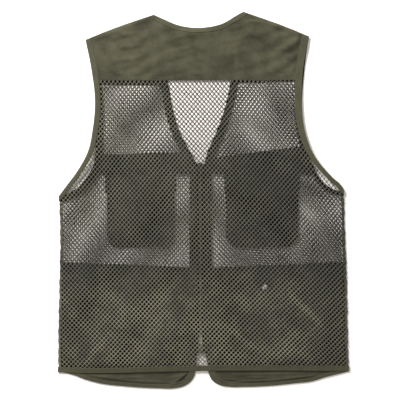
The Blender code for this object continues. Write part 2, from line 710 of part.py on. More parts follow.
def zip_tape_and_chain():
    """Closed zip: a woven tape under the facings and its chain in the slot between them."""
    tape_height = ZIP_TAPE_TOP - BOX_BOTTOM
    tape_bottom = PILE_HEIGHT - SEAM_GAP - ZIP_TAPE_WALL
    tape = block("zip_tape", (ZIP_TAPE_WIDTH, tape_height, ZIP_TAPE_WALL),
                 (ZIP_X, (ZIP_TAPE_TOP + BOX_BOTTOM) / 2, tape_bottom + ZIP_TAPE_WALL / 2))
    slit = block("zip_tape_slit", (CHAIN_WIDTH * 0.5, CHAIN_BOTTOM - BOX_TOP - 2.0, 4.0),
                 (ZIP_X, (CHAIN_BOTTOM + BOX_TOP) / 2 + 1.0, tape_bottom))
    add_cutter(tape, slit, "DIFFERENCE")
    finish_block(tape, "olive_twill")
    chain_z = PILE_HEIGHT + CHAIN_WALL / 2
    chain = block("zip_chain", (CHAIN_WIDTH, CHAIN_TOP - CHAIN_BOTTOM, CHAIN_WALL),
                  (ZIP_X, (CHAIN_TOP + CHAIN_BOTTOM) / 2, chain_z))
    finish_block(chain, "zip_chain")
    box = block("zip_box", (BOX_WIDTH, BOX_TOP - BOX_BOTTOM, CHAIN_WALL),
                (ZIP_X, (BOX_TOP + BOX_BOTTOM) / 2, chain_z))
    bevel = box.modifiers.new("edges", "BEVEL")
    bevel.width = 0.4 * MM
    bevel.segments = 1
    finish_block(box, "zip_chain")


def zip_slider():
    """Slider: an upper and a lower plate round the tape, a post, and a bail below."""
    middle = (SLIDER_TOP + SLIDER_BOTTOM) / 2
    length = SLIDER_TOP - SLIDER_BOTTOM
    upper_z = PILE_HEIGHT + SLIDER_PLATE / 2
    lower_top = PILE_HEIGHT - 2 * SEAM_GAP - ZIP_TAPE_WALL
    lower_z = lower_top - SLIDER_PLATE / 2
    slider = block("zip_slider", (SLIDER_WIDTH, length, SLIDER_PLATE), (ZIP_X, middle, upper_z))
    lower = block("slider_lower_plate", (SLIDER_WIDTH, length, SLIDER_PLATE),
                  (ZIP_X, middle, lower_z))
    add_cutter(slider, lower, "UNION")
    post_height = upper_z - lower_z
    post = block("slider_post", (POST_WIDTH, POST_LENGTH, post_height),
                 (ZIP_X, SLIDER_TOP - POST_LENGTH / 2 - 0.4, (upper_z + lower_z) / 2))
    add_cutter(slider, post, "UNION")
    crown_bottom = PIVOT_Z - TAB_BAR / 2 - SEAM_GAP - BAIL_WIRE
    bail_height = lower_z - crown_bottom
    bail_span = 2 * BAIL_HALF_SPAN + BAIL_WIRE
    bail = block("slider_bail", (BAIL_WIDTH, bail_span, bail_height),
                 (ZIP_X, PIVOT_Y, crown_bottom + bail_height / 2))
    add_cutter(slider, bail, "UNION")
    window_top = lower_z - SLIDER_PLATE / 2
    window_bottom = crown_bottom + BAIL_WIRE
    window = block("slider_bail_window",
                   (2 * BAIL_WIDTH, bail_span - 2 * BAIL_WIRE, window_top - window_bottom),
                   (ZIP_X, PIVOT_Y, (window_top + window_bottom) / 2))
    add_cutter(slider, window, "DIFFERENCE")
    finish_block(slider, "zip_metal")


def pull_tab():
    """Pull tab on its pivot: a flat blade whose eye leaves a bar that the bail holds."""
    pivot = bpy.data.objects.new("pull_tab_pivot", None)
    collection_named("utility_vest").objects.link(pivot)
    pivot.location = (ZIP_X * MM, PIVOT_Y * MM, PIVOT_Z * MM)
    blade = block("pull_tab", (TAB_WIDTH, TAB_LENGTH, TAB_THICKNESS),
                  (0.0, TAB_BAR / 2 - TAB_LENGTH / 2, 0.0))
    eye = block("pull_tab_eye", (TAB_EYE_WIDTH, TAB_EYE_LENGTH, 4.0),
                (0.0, -TAB_BAR / 2 - TAB_EYE_LENGTH / 2, 0.0))
    eye.parent = pivot
    add_cutter(blade, eye, "DIFFERENCE")
    hole = block("pull_tab_hole", (TAB_EYE_WIDTH * 0.8, TAB_EYE_LENGTH, 4.0),
                 (0.0, TAB_BAR / 2 - TAB_LENGTH + 5.5, 0.0))
    hole.parent = pivot
    add_cutter(blade, hole, "DIFFERENCE")
    finish_block(blade, "zip_metal", pivot)


def stud():
    """Cap of the press stud that fastens the right lower flap, inside the front."""
    bpy.ops.mesh.primitive_cylinder_add(vertices=20, radius=STUD_RADIUS * MM,
                                        depth=STUD_WALL * MM)
    item = bpy.context.object
    item.name = "flap_stud"
    item.location = (STUD_X * MM, STUD_Y * MM,
                     (PILE_HEIGHT + FRONT_WALL + SEAM_GAP + STUD_WALL / 2) * MM)
    for collection in list(item.users_collection):
        collection.objects.unlink(item)
    finish_block(item, "zip_metal")


def main():
    clear_scene()
    back_yoke()
    back_net()
    neck_binding()
    back_hem_binding()
    arm_bindings()
    side_seams()
    fronts()
    facings_and_hems()
    pockets()
    zip_tape_and_chain()
    zip_slider()
    pull_tab()
    stud()


main()
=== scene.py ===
import math

import bpy
import numpy as np
from bpy.props import FloatProperty, FloatVectorProperty, PointerProperty
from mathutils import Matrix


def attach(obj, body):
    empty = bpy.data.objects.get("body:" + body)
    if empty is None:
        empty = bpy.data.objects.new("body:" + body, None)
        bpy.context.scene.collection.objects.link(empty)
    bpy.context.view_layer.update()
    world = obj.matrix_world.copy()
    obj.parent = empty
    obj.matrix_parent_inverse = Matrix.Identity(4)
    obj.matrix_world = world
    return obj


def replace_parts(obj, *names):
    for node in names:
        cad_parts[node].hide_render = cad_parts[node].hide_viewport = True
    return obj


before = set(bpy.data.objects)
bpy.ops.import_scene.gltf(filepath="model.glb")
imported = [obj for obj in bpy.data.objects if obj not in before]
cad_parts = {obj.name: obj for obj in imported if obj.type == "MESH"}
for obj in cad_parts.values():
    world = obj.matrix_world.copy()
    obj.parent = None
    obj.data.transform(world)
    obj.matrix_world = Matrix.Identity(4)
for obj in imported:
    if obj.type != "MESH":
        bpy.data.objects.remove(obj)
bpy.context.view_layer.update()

bl_info = {
    "name": "Utility vest builder",
    "version": (1, 0, 0),
    "blender": (4, 5, 0),
    "location": "3D View > Sidebar > Vest",
    "description": "Dresses a utility vest of twill and open net that lies flat, back up",
    "category": "Add Mesh",
}

MM = 0.001
BODY = "vest"

# Sizes are in millimetres, unless a comment says otherwise. First the heights of seams
BACK_YOKE_SEAM = 237.9
BAND_BOTTOM = 51.7
LOWER_FRONT_SIDE = -121.6
LOWER_FRONT_CENTRE = -133.5
BACK_HEM = -336.4
CHEST_FLAP_BOTTOM = 6.0
# The armholes end about here, and the rolled edges of the side seams at the second heights
ARM_END = 0.0
ARM_SEAM_TOP = {"left": -4.5, "right": 9.5}

# Widths of tapes, facings and side seams
HEM_WIDTH = 10.8
NECK_WIDTH = 10.0
FRONT_HEM_WIDTH = 7.6
FRONT_CORNER_WIDTH = 12.5
FACING_WIDTH = 15.5
SIDE_SEAM_WIDTH = 6.0
ARM_WIDTH = 11.0
FRONT_ARM_WIDTHS = {"left": 15.5, "right": 11.0}
# What an armhole tape loses towards its lower end and gains towards the shoulder, and the
# length of the upright cut at its lower end
ARM_TAPER = 2.2
ARM_WIDER = {"left": 0.3, "right": 3.2}
ARM_CUT = 10.5

# Thickness of layers, where it isn't a setting of the scene
YOKE_WALL = 1.5
FRONT_YOKE_WALL = 1.2
INNER_WALL = 0.45
POCKET_WALL = 1.1
FLAP_WALL = 1.0
FACING_BEAD = 1.6
SEAM_ROLL = 2.1
NECK_EXTRA = 0.5
TAPE_GROOVE = 0.25
STITCH_INSET = 2.0

# The pile is what lies under the fronts; the back lies over them and sinks at its hem
PILE_HEIGHT = 4.4
BACK_OVER_FRONT = 2.3
HEM_SINK = 1.3
# The yoke is lifted by the first, and its troughs go no deeper than the second
YOKE_LIFT = 0.9
DEEPEST_TROUGH = 0.95
# Where the pile's slopes start from nothing and where they reach its full height
PILE_LEFT = {"none": -286.0, "full": -231.0}
PILE_RIGHT = {"none": 286.0, "full": 231.0}
PILE_TOP = {"none": 198.0, "full": 70.0}
PILE_BOTTOM = {"none": -358.0, "full": -301.0}

# The back's lower edge, which hangs a little to the left: (x, y)
HEM_LINE = [(-287.0, -338.8), (-230.0, -340.7), (-160.0, -340.0), (-90.0, -337.8),
            (-20.0, -336.4), (60.0, -335.6), (140.0, -335.4), (210.0, -335.8), (287.0, -336.4)]

# Slanting seams of the fronts, each through two points (x, y)
FRONT_YOKE_LINES = {"left": [(-190.0, 227.3), (-69.0, 226.2)],
                    "right": [(54.0, 230.0), (196.0, 234.0)]}
BAND_TOP_LINES = {"left": [(-190.0, 90.5), (-49.0, 94.0)],
                  "right": [(26.0, 84.5), (190.0, 106.0)]}

# Outlines: (x, y) in millimetres from the middle of the laid vest
SHOULDER_LEFT = [(-232.5, 315.7), (-172.4, 339.3), (-97.5, 364.9)]
NECK_CURVE = [(-97.5, 364.9), (-75.8, 355.1), (-58.1, 347.2), (-36.4, 341.3), (-12.8, 339.3),
              (12.8, 341.3), (36.4, 347.2), (64.0, 363.0), (77.8, 370.9)]
SHOULDER_RIGHT = [(77.8, 370.9), (144.8, 347.2), (207.8, 322.4)]
BACK_ARM_LEFT = [(-232.5, 315.7), (-219.7, 252.7), (-213.7, 189.6), (-217.7, 142.3),
                 (-227.5, 95.1), (-249.2, 55.7), (-270.0, 28.0), (-284.7, 8.4)]
BACK_ARM_RIGHT = [(207.8, 322.4), (196.0, 252.7), (193.8, 189.6), (198.0, 142.3),
                  (213.7, 95.1), (243.3, 55.7), (257.0, 42.0), (268.0, 33.0), (276.8, 20.2)]
FRONT_ARM_LEFT = [(-231.5, 314.5), (-219.7, 250.0), (-212.5, 190.0), (-213.4, 128.5),
                  (-212.6, 98.0), (-216.0, 72.0), (-226.5, 50.3), (-239.5, 33.0),
                  (-255.0, 20.0), (-283.7, 6.4)]
FRONT_ARM_RIGHT = [(206.8, 321.4), (198.0, 250.0), (193.8, 190.0), (197.0, 128.5),
                   (205.0, 95.0), (214.5, 71.0), (226.0, 48.5), (240.5, 31.5),
                   (257.0, 21.0), (275.8, 16.2)]
SIDE_LEFT = [(-284.7, 8.4), (-282.9, -78.3), (-284.7, -176.8), (-286.4, -255.6), (-286.6, -336.4)]
SIDE_RIGHT = [(276.8, 20.2), (278.8, -54.7), (282.7, -149.2), (284.7, -255.6), (286.6, -336.4)]
FRONT_EDGE_LEFT = [(-95.5, 362.0), (-69.9, 232.9), (-60.1, 177.8), (-46.3, 132.5), (-26.6, 95.1),
                   (-12.6, 68.0), (-11.8, 30.0), (-11.8, -100.0), (-11.8, -261.5),
                   (-12.2, -295.0), (-14.8, -326.5)]
FRONT_EDGE_RIGHT = [(75.8, 368.0), (54.2, 236.9), (41.0, 177.8), (24.2, 132.5), (8.6, 97.0),
                    (0.8, 68.0), (0.0, 30.0), (0.0, -100.0), (0.0, -261.5),
                    (2.6, -295.0), (8.9, -326.5)]
FRONT_HEM_LEFT = [(-285.4, -337.4), (-255.1, -344.3), (-231.5, -353.1), (-196.0, -362.0),
                  (-160.6, -365.9), (-89.6, -370.2), (-58.0, -370.4), (-40.0, -366.5),
                  (-27.0, -358.8), (-18.4, -346.5), (-14.8, -326.8)]
FRONT_HEM_RIGHT = [(285.4, -337.4), (241.3, -348.2), (212.0, -357.0), (182.2, -360.4),
                   (131.0, -365.5), (81.8, -367.6), (50.0, -367.3), (31.0, -363.5),
                   (18.6, -356.0), (11.2, -344.0), (8.9, -326.8)]

SIDES = {
    "left": {"arm": BACK_ARM_LEFT, "front_arm": FRONT_ARM_LEFT, "seam": SIDE_LEFT,
             "edge": FRONT_EDGE_LEFT, "hem": FRONT_HEM_LEFT, "sign": -1},
    "right": {"arm": BACK_ARM_RIGHT, "front_arm": FRONT_ARM_RIGHT, "seam": SIDE_RIGHT,
              "edge": FRONT_EDGE_RIGHT, "hem": FRONT_HEM_RIGHT, "sign": 1},
}

# Each fold is a ridge: x and y of its start, x and y of its end, half width and height.
# A negative height is a trough. These are the back's broad folds.
BACK_FOLDS = [
    (82.0, 352.0, 118.0, 308.0, 13.0, 2.6),
    (120.0, 330.0, 196.0, 300.0, 15.0, 2.2),
    (176.0, 334.0, 192.0, 306.0, 9.0, 1.9),
    (-40.0, 318.0, 24.0, 322.0, 12.0, 2.0),
    (-176.0, 318.0, -120.0, 326.0, 16.0, 1.8),
    (-206.0, 282.0, -172.0, 236.0, 16.0, 2.0),
    (62.0, 286.0, 88.0, 214.0, 16.0, 2.0),
    (-22.0, 60.0, -20.0, -250.0, 20.0, 1.8),
    (12.0, 30.0, 16.0, -270.0, 18.0, 1.4),
    (182.0, -196.0, 248.0, -300.0, 19.0, 2.4),
    (-188.0, -296.0, -112.0, -214.0, 22.0, 1.7),
]
# Broad folds of the front hems, which hang below the back
HEM_FOLDS = [
    (-236.0, -346.0, -104.0, -358.0, 8.0, 2.0),
    (-36.0, -336.0, -60.0, -360.0, 7.0, 2.6),
    (22.0, -338.0, 42.0, -360.0, 7.0, 2.4),
    (96.0, -350.0, 214.0, -344.0, 8.0, 1.8),
]
# Finer creases of the back yoke
YOKE_CREASES = [
    (74.0, 369.0, 206.0, 319.0, 6.0, 2.2),
    (88.0, 351.0, 196.0, 336.0, 7.5, 2.5),
    (77.0, 343.0, 115.0, 315.0, 5.5, 3.3),
    (79.0, 353.0, 112.0, 350.0, 2.8, 1.7),
    (84.0, 358.5, 114.0, 354.5, 3.0, -1.4),
    (76.0, 330.0, 102.0, 301.0, 5.0, -1.1),
    (84.0, 337.0, 92.0, 331.0, 3.0, -0.7),
    (174.0, 331.0, 184.0, 322.0, 3.0, 1.4),
    (184.0, 328.0, 196.0, 317.0, 2.8, 1.9),
    (193.0, 324.0, 203.0, 314.0, 2.6, 1.4),
    (160.0, 326.0, 176.0, 318.0, 3.5, 1.2),
    (97.0, 295.0, 116.0, 267.0, 6.5, 2.2),
    (126.0, 302.0, 131.0, 272.0, 9.0, -1.9),
    (148.0, 300.0, 194.0, 312.0, 9.0, 2.8),
    (150.0, 284.0, 192.0, 276.0, 7.0, 1.4),
    (60.0, 296.0, 62.0, 256.0, 5.5, -1.4),
    (72.0, 268.0, 86.0, 246.0, 5.0, 1.4),
    (178.0, 262.0, 194.0, 246.0, 5.0, 1.4),
    (128.0, 262.0, 172.0, 258.0, 7.0, 1.2),
    (-231.0, 312.0, -100.0, 362.0, 6.0, 2.2),
    (-172.0, 328.0, -145.0, 326.0, 5.0, 1.6),
    (-196.0, 316.0, -160.0, 312.0, 7.0, -1.3),
    (-211.0, 300.0, -168.0, 245.0, 8.0, 3.2),
    (-208.0, 272.0, -190.0, 250.0, 7.0, -1.7),
    (-186.0, 275.0, -140.0, 279.0, 8.0, 2.2),
    (-176.0, 300.0, -130.0, 304.0, 7.0, 1.3),
    (-107.0, 316.0, -96.0, 268.0, 9.0, -1.7),
    (-72.0, 292.0, -62.0, 256.0, 9.0, -1.4),
    (-88.0, 322.0, -48.0, 312.0, 9.0, 1.9),
    (-42.0, 331.0, 8.0, 330.0, 6.5, 2.8),
    (-38.0, 316.0, 4.0, 315.0, 7.0, -2.2),
    (-46.0, 298.0, 14.0, 300.0, 8.0, 1.3),
    (20.0, 310.0, 56.0, 318.0, 8.0, 1.3),
    (-20.0, 284.0, -12.0, 250.0, 8.0, 0.9),
    (22.0, 290.0, 30.0, 250.0, 8.0, 0.9),
]
# Slow waves of the yoke: length, height, lean of the crests and phase
CLOTH_WAVES = [
    {"length": 58.0, "height": 1.15, "lean": 0.35, "phase": 0.6},
    {"length": 31.0, "height": 0.75, "lean": -0.45, "phase": 2.1},
    {"length": 19.0, "height": 0.4, "lean": 0.7, "phase": 4.0},
    {"length": 13.0, "height": 0.18, "lean": -0.2, "phase": 5.2},
]
# Creases of the front hems below the back, and of the twill under the net
FRONT_CREASES = [
    (-232.0, -343.5, -150.0, -354.5, 2.4, 1.5),
    (-150.0, -355.0, -62.0, -359.8, 2.2, 1.3),
    (-160.0, -348.5, -122.0, -349.5, 2.4, 1.4),
    (-200.0, -344.5, -170.0, -347.0, 2.2, 0.9),
    (-30.0, -338.0, -56.0, -359.0, 2.4, 1.9),
    (-40.0, -344.0, -74.0, -352.0, 3.0, 0.9),
    (20.0, -338.0, 36.0, -357.0, 2.2, 1.5),
    (36.0, -352.5, 62.0, -354.0, 2.0, 1.4),
    (66.0, -357.0, 132.0, -355.0, 2.2, 2.0),
    (132.0, -355.0, 216.0, -345.5, 2.2, 2.1),
    (60.0, -344.0, 210.0, -340.0, 2.6, 1.6),
    (84.0, -349.5, 120.0, -349.0, 2.4, 1.5),
]


def smooth_step(value):
    """0 below 0, 1 above 1, and between them a cubic that starts and ends level."""
    value = np.clip(value, 0.0, 1.0)
    return value * value * (3.0 - 2.0 * value)


def rise(value, limits):
    """0 at limits["none"], 1 at limits["full"] and a smooth step between."""
    return smooth_step((value - limits["none"]) / (limits["full"] - limits["none"]))


def fold_height(x, y, folds):
    """Sum of ridges: a bell curve of the distance to each line, faded to its two ends."""
    total = np.zeros_like(x)
    for x0, y0, x1, y1, half, height in folds:
        run_x = x1 - x0
        run_y = y1 - y0
        along = ((x - x0) * run_x + (y - y0) * run_y) / (run_x ** 2 + run_y ** 2)
        nearest = np.clip(along, 0.0, 1.0)
        away_x = x - x0 - nearest * run_x
        away_y = y - y0 - nearest * run_y
        away = (away_x ** 2 + away_y ** 2) / half ** 2
        fade = 0.45 + 0.55 * np.sin(math.pi * nearest)
        total = total + height * fade * np.exp(-away)
    return total


def pile(x, y):
    """Height of what lies under the fronts: a plateau with soft slopes to the edges."""
    sides = np.where(x < 0.0, rise(x, PILE_LEFT), rise(x, PILE_RIGHT))
    return PILE_HEIGHT * sides * rise(y, PILE_TOP) * rise(y, PILE_BOTTOM)


def front_drape(x, y):
    """Underside of the fronts, with the folds of the hems that hang below the back."""
    below_back = smooth_step((BACK_HEM - 2.0 - y) / 10.0)
    return pile(x, y) + below_back * fold_height(x, y, HEM_FOLDS)


def back_drape(x, y):
    """Underside of the back, which lies on the fronts, has its own folds and sinks at its hem."""
    sink = HEM_SINK * smooth_step((BACK_HEM + HEM_WIDTH + 5.0 - y) / 8.0)
    return pile(x, y) + BACK_OVER_FRONT - sink + fold_height(x, y, BACK_FOLDS)


def waves(x, y):
    """Sum of slow waves across the cloth, each weaker and stronger in patches."""
    total = np.zeros_like(x)
    for wave in CLOTH_WAVES:
        bend = 1.6 * np.sin((x * wave["lean"] + y) / (1.9 * wave["length"]) + wave["phase"])
        turn = (y + wave["lean"] * x) * (2.0 * math.pi / wave["length"]) + bend
        patch = 0.5 + 0.5 * np.sin(x / (1.3 * wave["length"]) + 2.0 * wave["phase"])
        total = total + wave["height"] * patch * np.sin(turn + np.sin(x / 23.0 + wave["phase"]))
    return total


def yoke_drape(x, y):
    """The back's height with the yoke's fine creases, which die out at its lower seam.

    The troughs flatten out before they reach the front yoke underneath.
    """
    fade = smooth_step((y - BACK_YOKE_SEAM) / 14.0)
    above_seam = y - BACK_YOKE_SEAM
    from_left = x + 205.5 + 0.2 * above_seam
    from_right = 179.0 + 0.17 * above_seam - x
    lift = YOKE_LIFT * smooth_step(from_left / 30.0) * smooth_step(from_right / 30.0)
    creases = fold_height(x, y, YOKE_CREASES) + waves(x, y)
    relief = lift + creases * smooth_step(from_left / 9.0) * smooth_step(from_right / 9.0)
    relief = np.where(relief < 0.0, DEEPEST_TROUGH * np.tanh(relief / DEEPEST_TROUGH), relief)
    return back_drape(x, y) + fade * relief


def hem_drape(x, y):
    """The fronts' height with the fine creases below the back hem."""
    below_back = smooth_step((BACK_HEM + 2.0 - y) / 8.0)
    return front_drape(x, y) + below_back * fold_height(x, y, FRONT_CREASES)


def smooth_path(points, count):
    """Evenly spaced points on a cubic through the given ones, with chord tangents."""
    knots = np.array(points, dtype=float)
    steps = np.linalg.norm(np.diff(knots, axis=0), axis=1)
    place = np.concatenate([[0.0], np.cumsum(steps)])
    tangents = np.gradient(knots, place, axis=0)
    wanted = np.linspace(0.0, place[-1], count)
    index = np.clip(np.searchsorted(place, wanted, side="right") - 1, 0, len(steps) - 1)
    span = steps[index][:, None]
    t = ((wanted - place[index]) / steps[index])[:, None]
    start = (2 * t ** 3 - 3 * t ** 2 + 1) * knots[index]
    end = (3 * t ** 2 - 2 * t ** 3) * knots[index + 1]
    leave = (t ** 3 - 2 * t ** 2 + t) * span * tangents[index]
    arrive = (t ** 3 - t ** 2) * span * tangents[index + 1]
    return start + end + leave + arrive


def sideways(path):
    """Unit vectors to the left of the path's direction."""
    along = np.gradient(path, axis=0)
    along = along / np.linalg.norm(along, axis=1)[:, None]
    return np.stack([-along[:, 1], along[:, 0]], axis=1)


def offset_path(path, width, side):
    """The path moved to its left (side 1) or right (side -1) by one width or one a point."""
    return path + side * sideways(path) * np.reshape(width, (-1, 1))


def edge_at(path, axis):
    """The path's other coordinate as a function of the one that axis names."""
    order = np.argsort(path[:, axis])
    known = path[order, axis]
    found = path[order, 1 - axis]
    return lambda value: np.interp(value, known, found)


def slanted(line):
    """The straight line through two points, as y of x."""
    (x0, y0), (x1, y1) = line
    return lambda x: y0 + (x - x0) * (y1 - y0) / (x1 - x0)


def level(height):
    """The same height everywhere, as a function of one coordinate."""
    return lambda value: height + 0.0 * value


def level_z(height):
    """The same height everywhere, as a function of x and y."""
    return lambda x, y: height + 0.0 * x


def unit(vector):
    """The vector divided by its length."""
    vector = np.array(vector, dtype=float)
    return vector / np.linalg.norm(vector)


def even(count):
    """Shares from 0 to 1 in a number of equal steps."""
    return np.linspace(0.0, 1.0, count + 1)


def shoulder_direction(side):
    """The way along a shoulder from its armhole towards the neck."""
    line = SHOULDER_LEFT if side == "left" else SHOULDER_RIGHT[::-1]
    return np.array(line[1]) - np.array(line[0])


def arm_paths(points, side, width, count):
    """Free edge of an armhole and the body side of its tape.

    The width grows by one smooth step towards the shoulder and shrinks by another towards
    the side seam.
    """
    outer = smooth_path(points, count)
    share = even(count - 1)
    widths = width - ARM_TAPER * smooth_step((share - 0.5) / 0.45)
    widths = widths + ARM_WIDER[side] * (1.0 - smooth_step((share - 0.35) / 0.4))
    inner = offset_path(outer, widths, -SIDES[side]["sign"])
    inner[0] = outer[0] + unit(shoulder_direction(side)) * width * 1.05
    inner[-1] = outer[-1] + np.array([0.0, -ARM_CUT])
    return outer, inner


def side_paths(side, width, count):
    """Side edge of the vest and the body side of its seam."""
    path = smooth_path(SIDES[side]["seam"], count)
    return path, offset_path(path, width, -SIDES[side]["sign"])


def facing_paths(side, width, count):
    """Free edge of a front and the body side of its facing."""
    table = SIDES[side]
    free = smooth_path(table["edge"], count)
    inner = offset_path(free, width, table["sign"])
    line = np.array(SHOULDER_LEFT if side == "left" else SHOULDER_RIGHT[::-1])
    inner[0] = free[0] + unit(line[1] - line[2]) * width * 1.1
    inner[-1] = free[-1] + np.array([table["sign"] * width, 0.0])
    return free, inner


def hem_paths(side, extra, count):
    """Lower edge of a front and the body side of its tape, wider round the corner."""
    table = SIDES[side]
    outer = smooth_path(table["hem"], count)
    share = smooth_step((even(count - 1) - 0.6) / 0.3)
    width = FRONT_HEM_WIDTH + (FRONT_CORNER_WIDTH - FRONT_HEM_WIDTH) * share + extra
    inner = offset_path(outer, width, -table["sign"])
    inner[-1] = outer[-1] + np.array([table["sign"] * width[-1], 0.0])
    return outer, inner


def neck_paths(width, count):
    """Neck edge of the back and the lower edge of its binding."""
    left = smooth_path(SHOULDER_LEFT, 9)
    neck = smooth_path(NECK_CURVE, count)
    right = smooth_path(SHOULDER_RIGHT, 9)
    inner = offset_path(neck, width, -1)
    inner[0] = neck[0] + unit(left[-2] - left[-1]) * 1.2 * width
    inner[-1] = neck[-1] + unit(right[1] - right[0]) * 1.2 * width
    return neck, inner


def joined_edge(upper, lower):
    """x as a function of y along two paths, one above the other."""
    keep = lower[:, 1] < upper[:, 1].min() - 0.5
    return edge_at(np.concatenate([upper, lower[keep]]), 1)


def body_edge(side, arm_table, margin):
    """Side edge of a panel inside its armhole tape and side seam, as x of y."""
    is_front = arm_table is SIDES[side]["front_arm"]
    width = FRONT_ARM_WIDTHS[side] if is_front else ARM_WIDTH
    _, arm = arm_paths(arm_table, side, width - margin, 81)
    _, seam = side_paths(side, SIDE_SEAM_WIDTH - margin, 33)
    arm[-1, 0] = seam[0, 0]
    return joined_edge(arm, seam)


def panel_grid(left, right, bottom, top, across, along):
    """Grid of a panel: shares of its width and height, solved by turns until they agree."""
    u, v = np.meshgrid(across, along)
    y = 0.5 * (bottom(0.0 * u) + top(0.0 * u))
    for _ in range(12):
        x = left(y) + (right(y) - left(y)) * u
        y = bottom(x) + (top(x) - bottom(x)) * v
    return x, y


class Shade:
    """A shader socket that takes part in sums: + - * and / add Math nodes."""

    def __init__(self, tree, socket):
        self.tree = tree
        self.socket = socket

    def _math(self, operation, other, swapped=False):
        first, second = (other, self) if swapped else (self, other)
        return self.tree.node("ShaderNodeMath", {"operation": operation}, {0: first, 1: second})

    def __add__(self, other):
        return self._math("ADD", other)

    def __radd__(self, other):
        return self._math("ADD", other, True)

    def __sub__(self, other):
        return self._math("SUBTRACT", other)

    def __rsub__(self, other):
        return self._math("SUBTRACT", other, True)

    def __mul__(self, other):
        return self._math("MULTIPLY", other)

    def __rmul__(self, other):
        return self._math("MULTIPLY", other, True)

    def __truediv__(self, other):
        return self._math("DIVIDE", other)

    def sine(self):
        """The sine of the socket's value."""
        return self.tree.node("ShaderNodeMath", {"operation": "SINE"}, {0: self})

    def clamped(self):
        """The value held between 0 and 1."""
        return self.tree.node("ShaderNodeClamp", {}, {"Value": self})


class Finish:
    """A material whose nodes are added by expressions."""

    def __init__(self, name):
        self.material = bpy.data.materials.new(name)
        self.material.use_nodes = True
        self.nodes = self.material.node_tree.nodes
        self.links = self.material.node_tree.links
        self.shader = self.nodes["Principled BSDF"]

    def node(self, kind, settings, inputs, output=0):
        """Adds a node of a kind with its settings, values and links, and wraps an output."""
        item = self.nodes.new(kind)
        for name, value in settings.items():
            setattr(item, name, value)
        for name, value in inputs.items():
            if isinstance(value, Shade):
                self.links.new(value.socket, item.inputs[name])
            else:
                item.inputs[name].default_value = value
        return Shade(self, item.outputs[output])

    def place(self):
        """Object coordinates, in metres."""
        return self.node("ShaderNodeTexCoord", {}, {}, "Object")

    def axis(self, index):
        """One of the object coordinates: 0 across, 1 along, 2 up."""
        return self.node("ShaderNodeSeparateXYZ", {}, {0: self.place()}, index)

    def uv(self, name, index):
        """One number of the piece's own UV map."""
        source = self.node("ShaderNodeUVMap", {"uv_map": name}, {})
        return self.node("ShaderNodeSeparateXYZ", {}, {0: source}, index)

    def noise(self, scale, detail=2.0, roughness=0.5, stretch=None):
        """Noise over the object coordinates, stretched by a factor an axis if asked."""
        place = self.place()
        if stretch is not None:
            place = self.node("ShaderNodeMapping", {}, {"Vector": place, "Scale": stretch})
        return self.node("ShaderNodeTexNoise", {},
                         {"Vector": place, "Scale": scale, "Detail": detail,
                          "Roughness": roughness})

    def mix(self, factor, first, second):
        """Adds a colour Mix node, whose sockets are numbered: factor 0, colours 6 and 7."""
        item = self.nodes.new("ShaderNodeMix")
        item.data_type = "RGBA"
        for socket, value in ((item.inputs[0], factor), (item.inputs[6], first),
                              (item.inputs[7], second)):
            if isinstance(value, Shade):
                self.links.new(value.socket, socket)
            elif hasattr(value, "__len__"):
                socket.default_value = (*value[:3], 1.0)
            else:
                socket.default_value = value
        return Shade(self, item.outputs[2])

    def bump(self, height, strength, distance):
        """Feeds a height through a Bump node into the shader's Normal."""
        normal = self.node("ShaderNodeBump", {},
                           {"Height": height, "Strength": strength, "Distance": distance})
        self.links.new(normal.socket, self.shader.inputs["Normal"])

    def coat(self, colour, tone, dark, light, roughness, grain, spread):
        """Mixes a dark and a light tint by the tone, and lets a grain vary the roughness."""
        return self.set(Base_Color=self.mix(tone, tinted(colour, dark), tinted(colour, light)),
                        Roughness=roughness + (grain - 0.5) * spread)

    def set(self, **values):
        """Sets or links the shader's own sockets, named with _ for each space."""
        for name, value in values.items():
            socket = self.shader.inputs[name.replace("_", " ")]
            if isinstance(value, Shade):
                self.links.new(value.socket, socket)
            else:
                socket.default_value = value
        return self.material


# Patches of painted light and shade on the net's yarn, paler or darker than round them:
# highlights along lit creases, painted shade beside them and over the deeper right pocket,
# and broader lit and shaded places: x and y of the middle, half length and half breadth in
# metres, turn in degrees, and change of tone
YARN_LIGHT_AND_SHADE = [
    (-0.015, -0.04, 0.10, 0.08, 90.0, 0.6),
    (0.10, -0.03, 0.12, 0.09, 90.0, -0.35),
    (-0.19, -0.17, 0.09, 0.09, 0.0, -0.3),
    (0.115, -0.18, 0.08, 0.07, 0.0, -0.22),
    (0.265, -0.05, 0.08, 0.05, 90.0, -0.4),
    (0.200, -0.213, 0.070, 0.008, -45.0, 0.7),
    (0.228, -0.208, 0.060, 0.018, -45.0, -0.3),
    (0.067, -0.265, 0.065, 0.008, -36.0, 0.7),
    (0.105, -0.246, 0.055, 0.022, -36.0, -0.35),
    (0.160, -0.300, 0.080, 0.030, -12.0, 0.3),
    (-0.115, -0.228, 0.055, 0.018, -15.0, 0.4),
    (-0.213, -0.297, 0.040, 0.008, 50.0, 0.7),
]
# The yarn turns paler over a depth below a height, and takes painted shade towards the sides
# and the right, all in metres and shares of the tone
PALER_TOP = -0.13
PALER_DEPTH = 0.06
SIDE_SHADE_TOP = -0.01
SIDE_SHADE_FROM = 0.1483
SIDE_SHADE = 0.55
RIGHT_SHADE = 0.9
TWILL_RIBS_PER_METRE = 2.0 * math.pi * 700.0
TAPE_RIBS_PER_METRE = 2.0 * math.pi * 900.0


def tinted(colour, factor):
    """The colour with each channel times a factor."""
    return tuple(channel * factor for channel in colour)


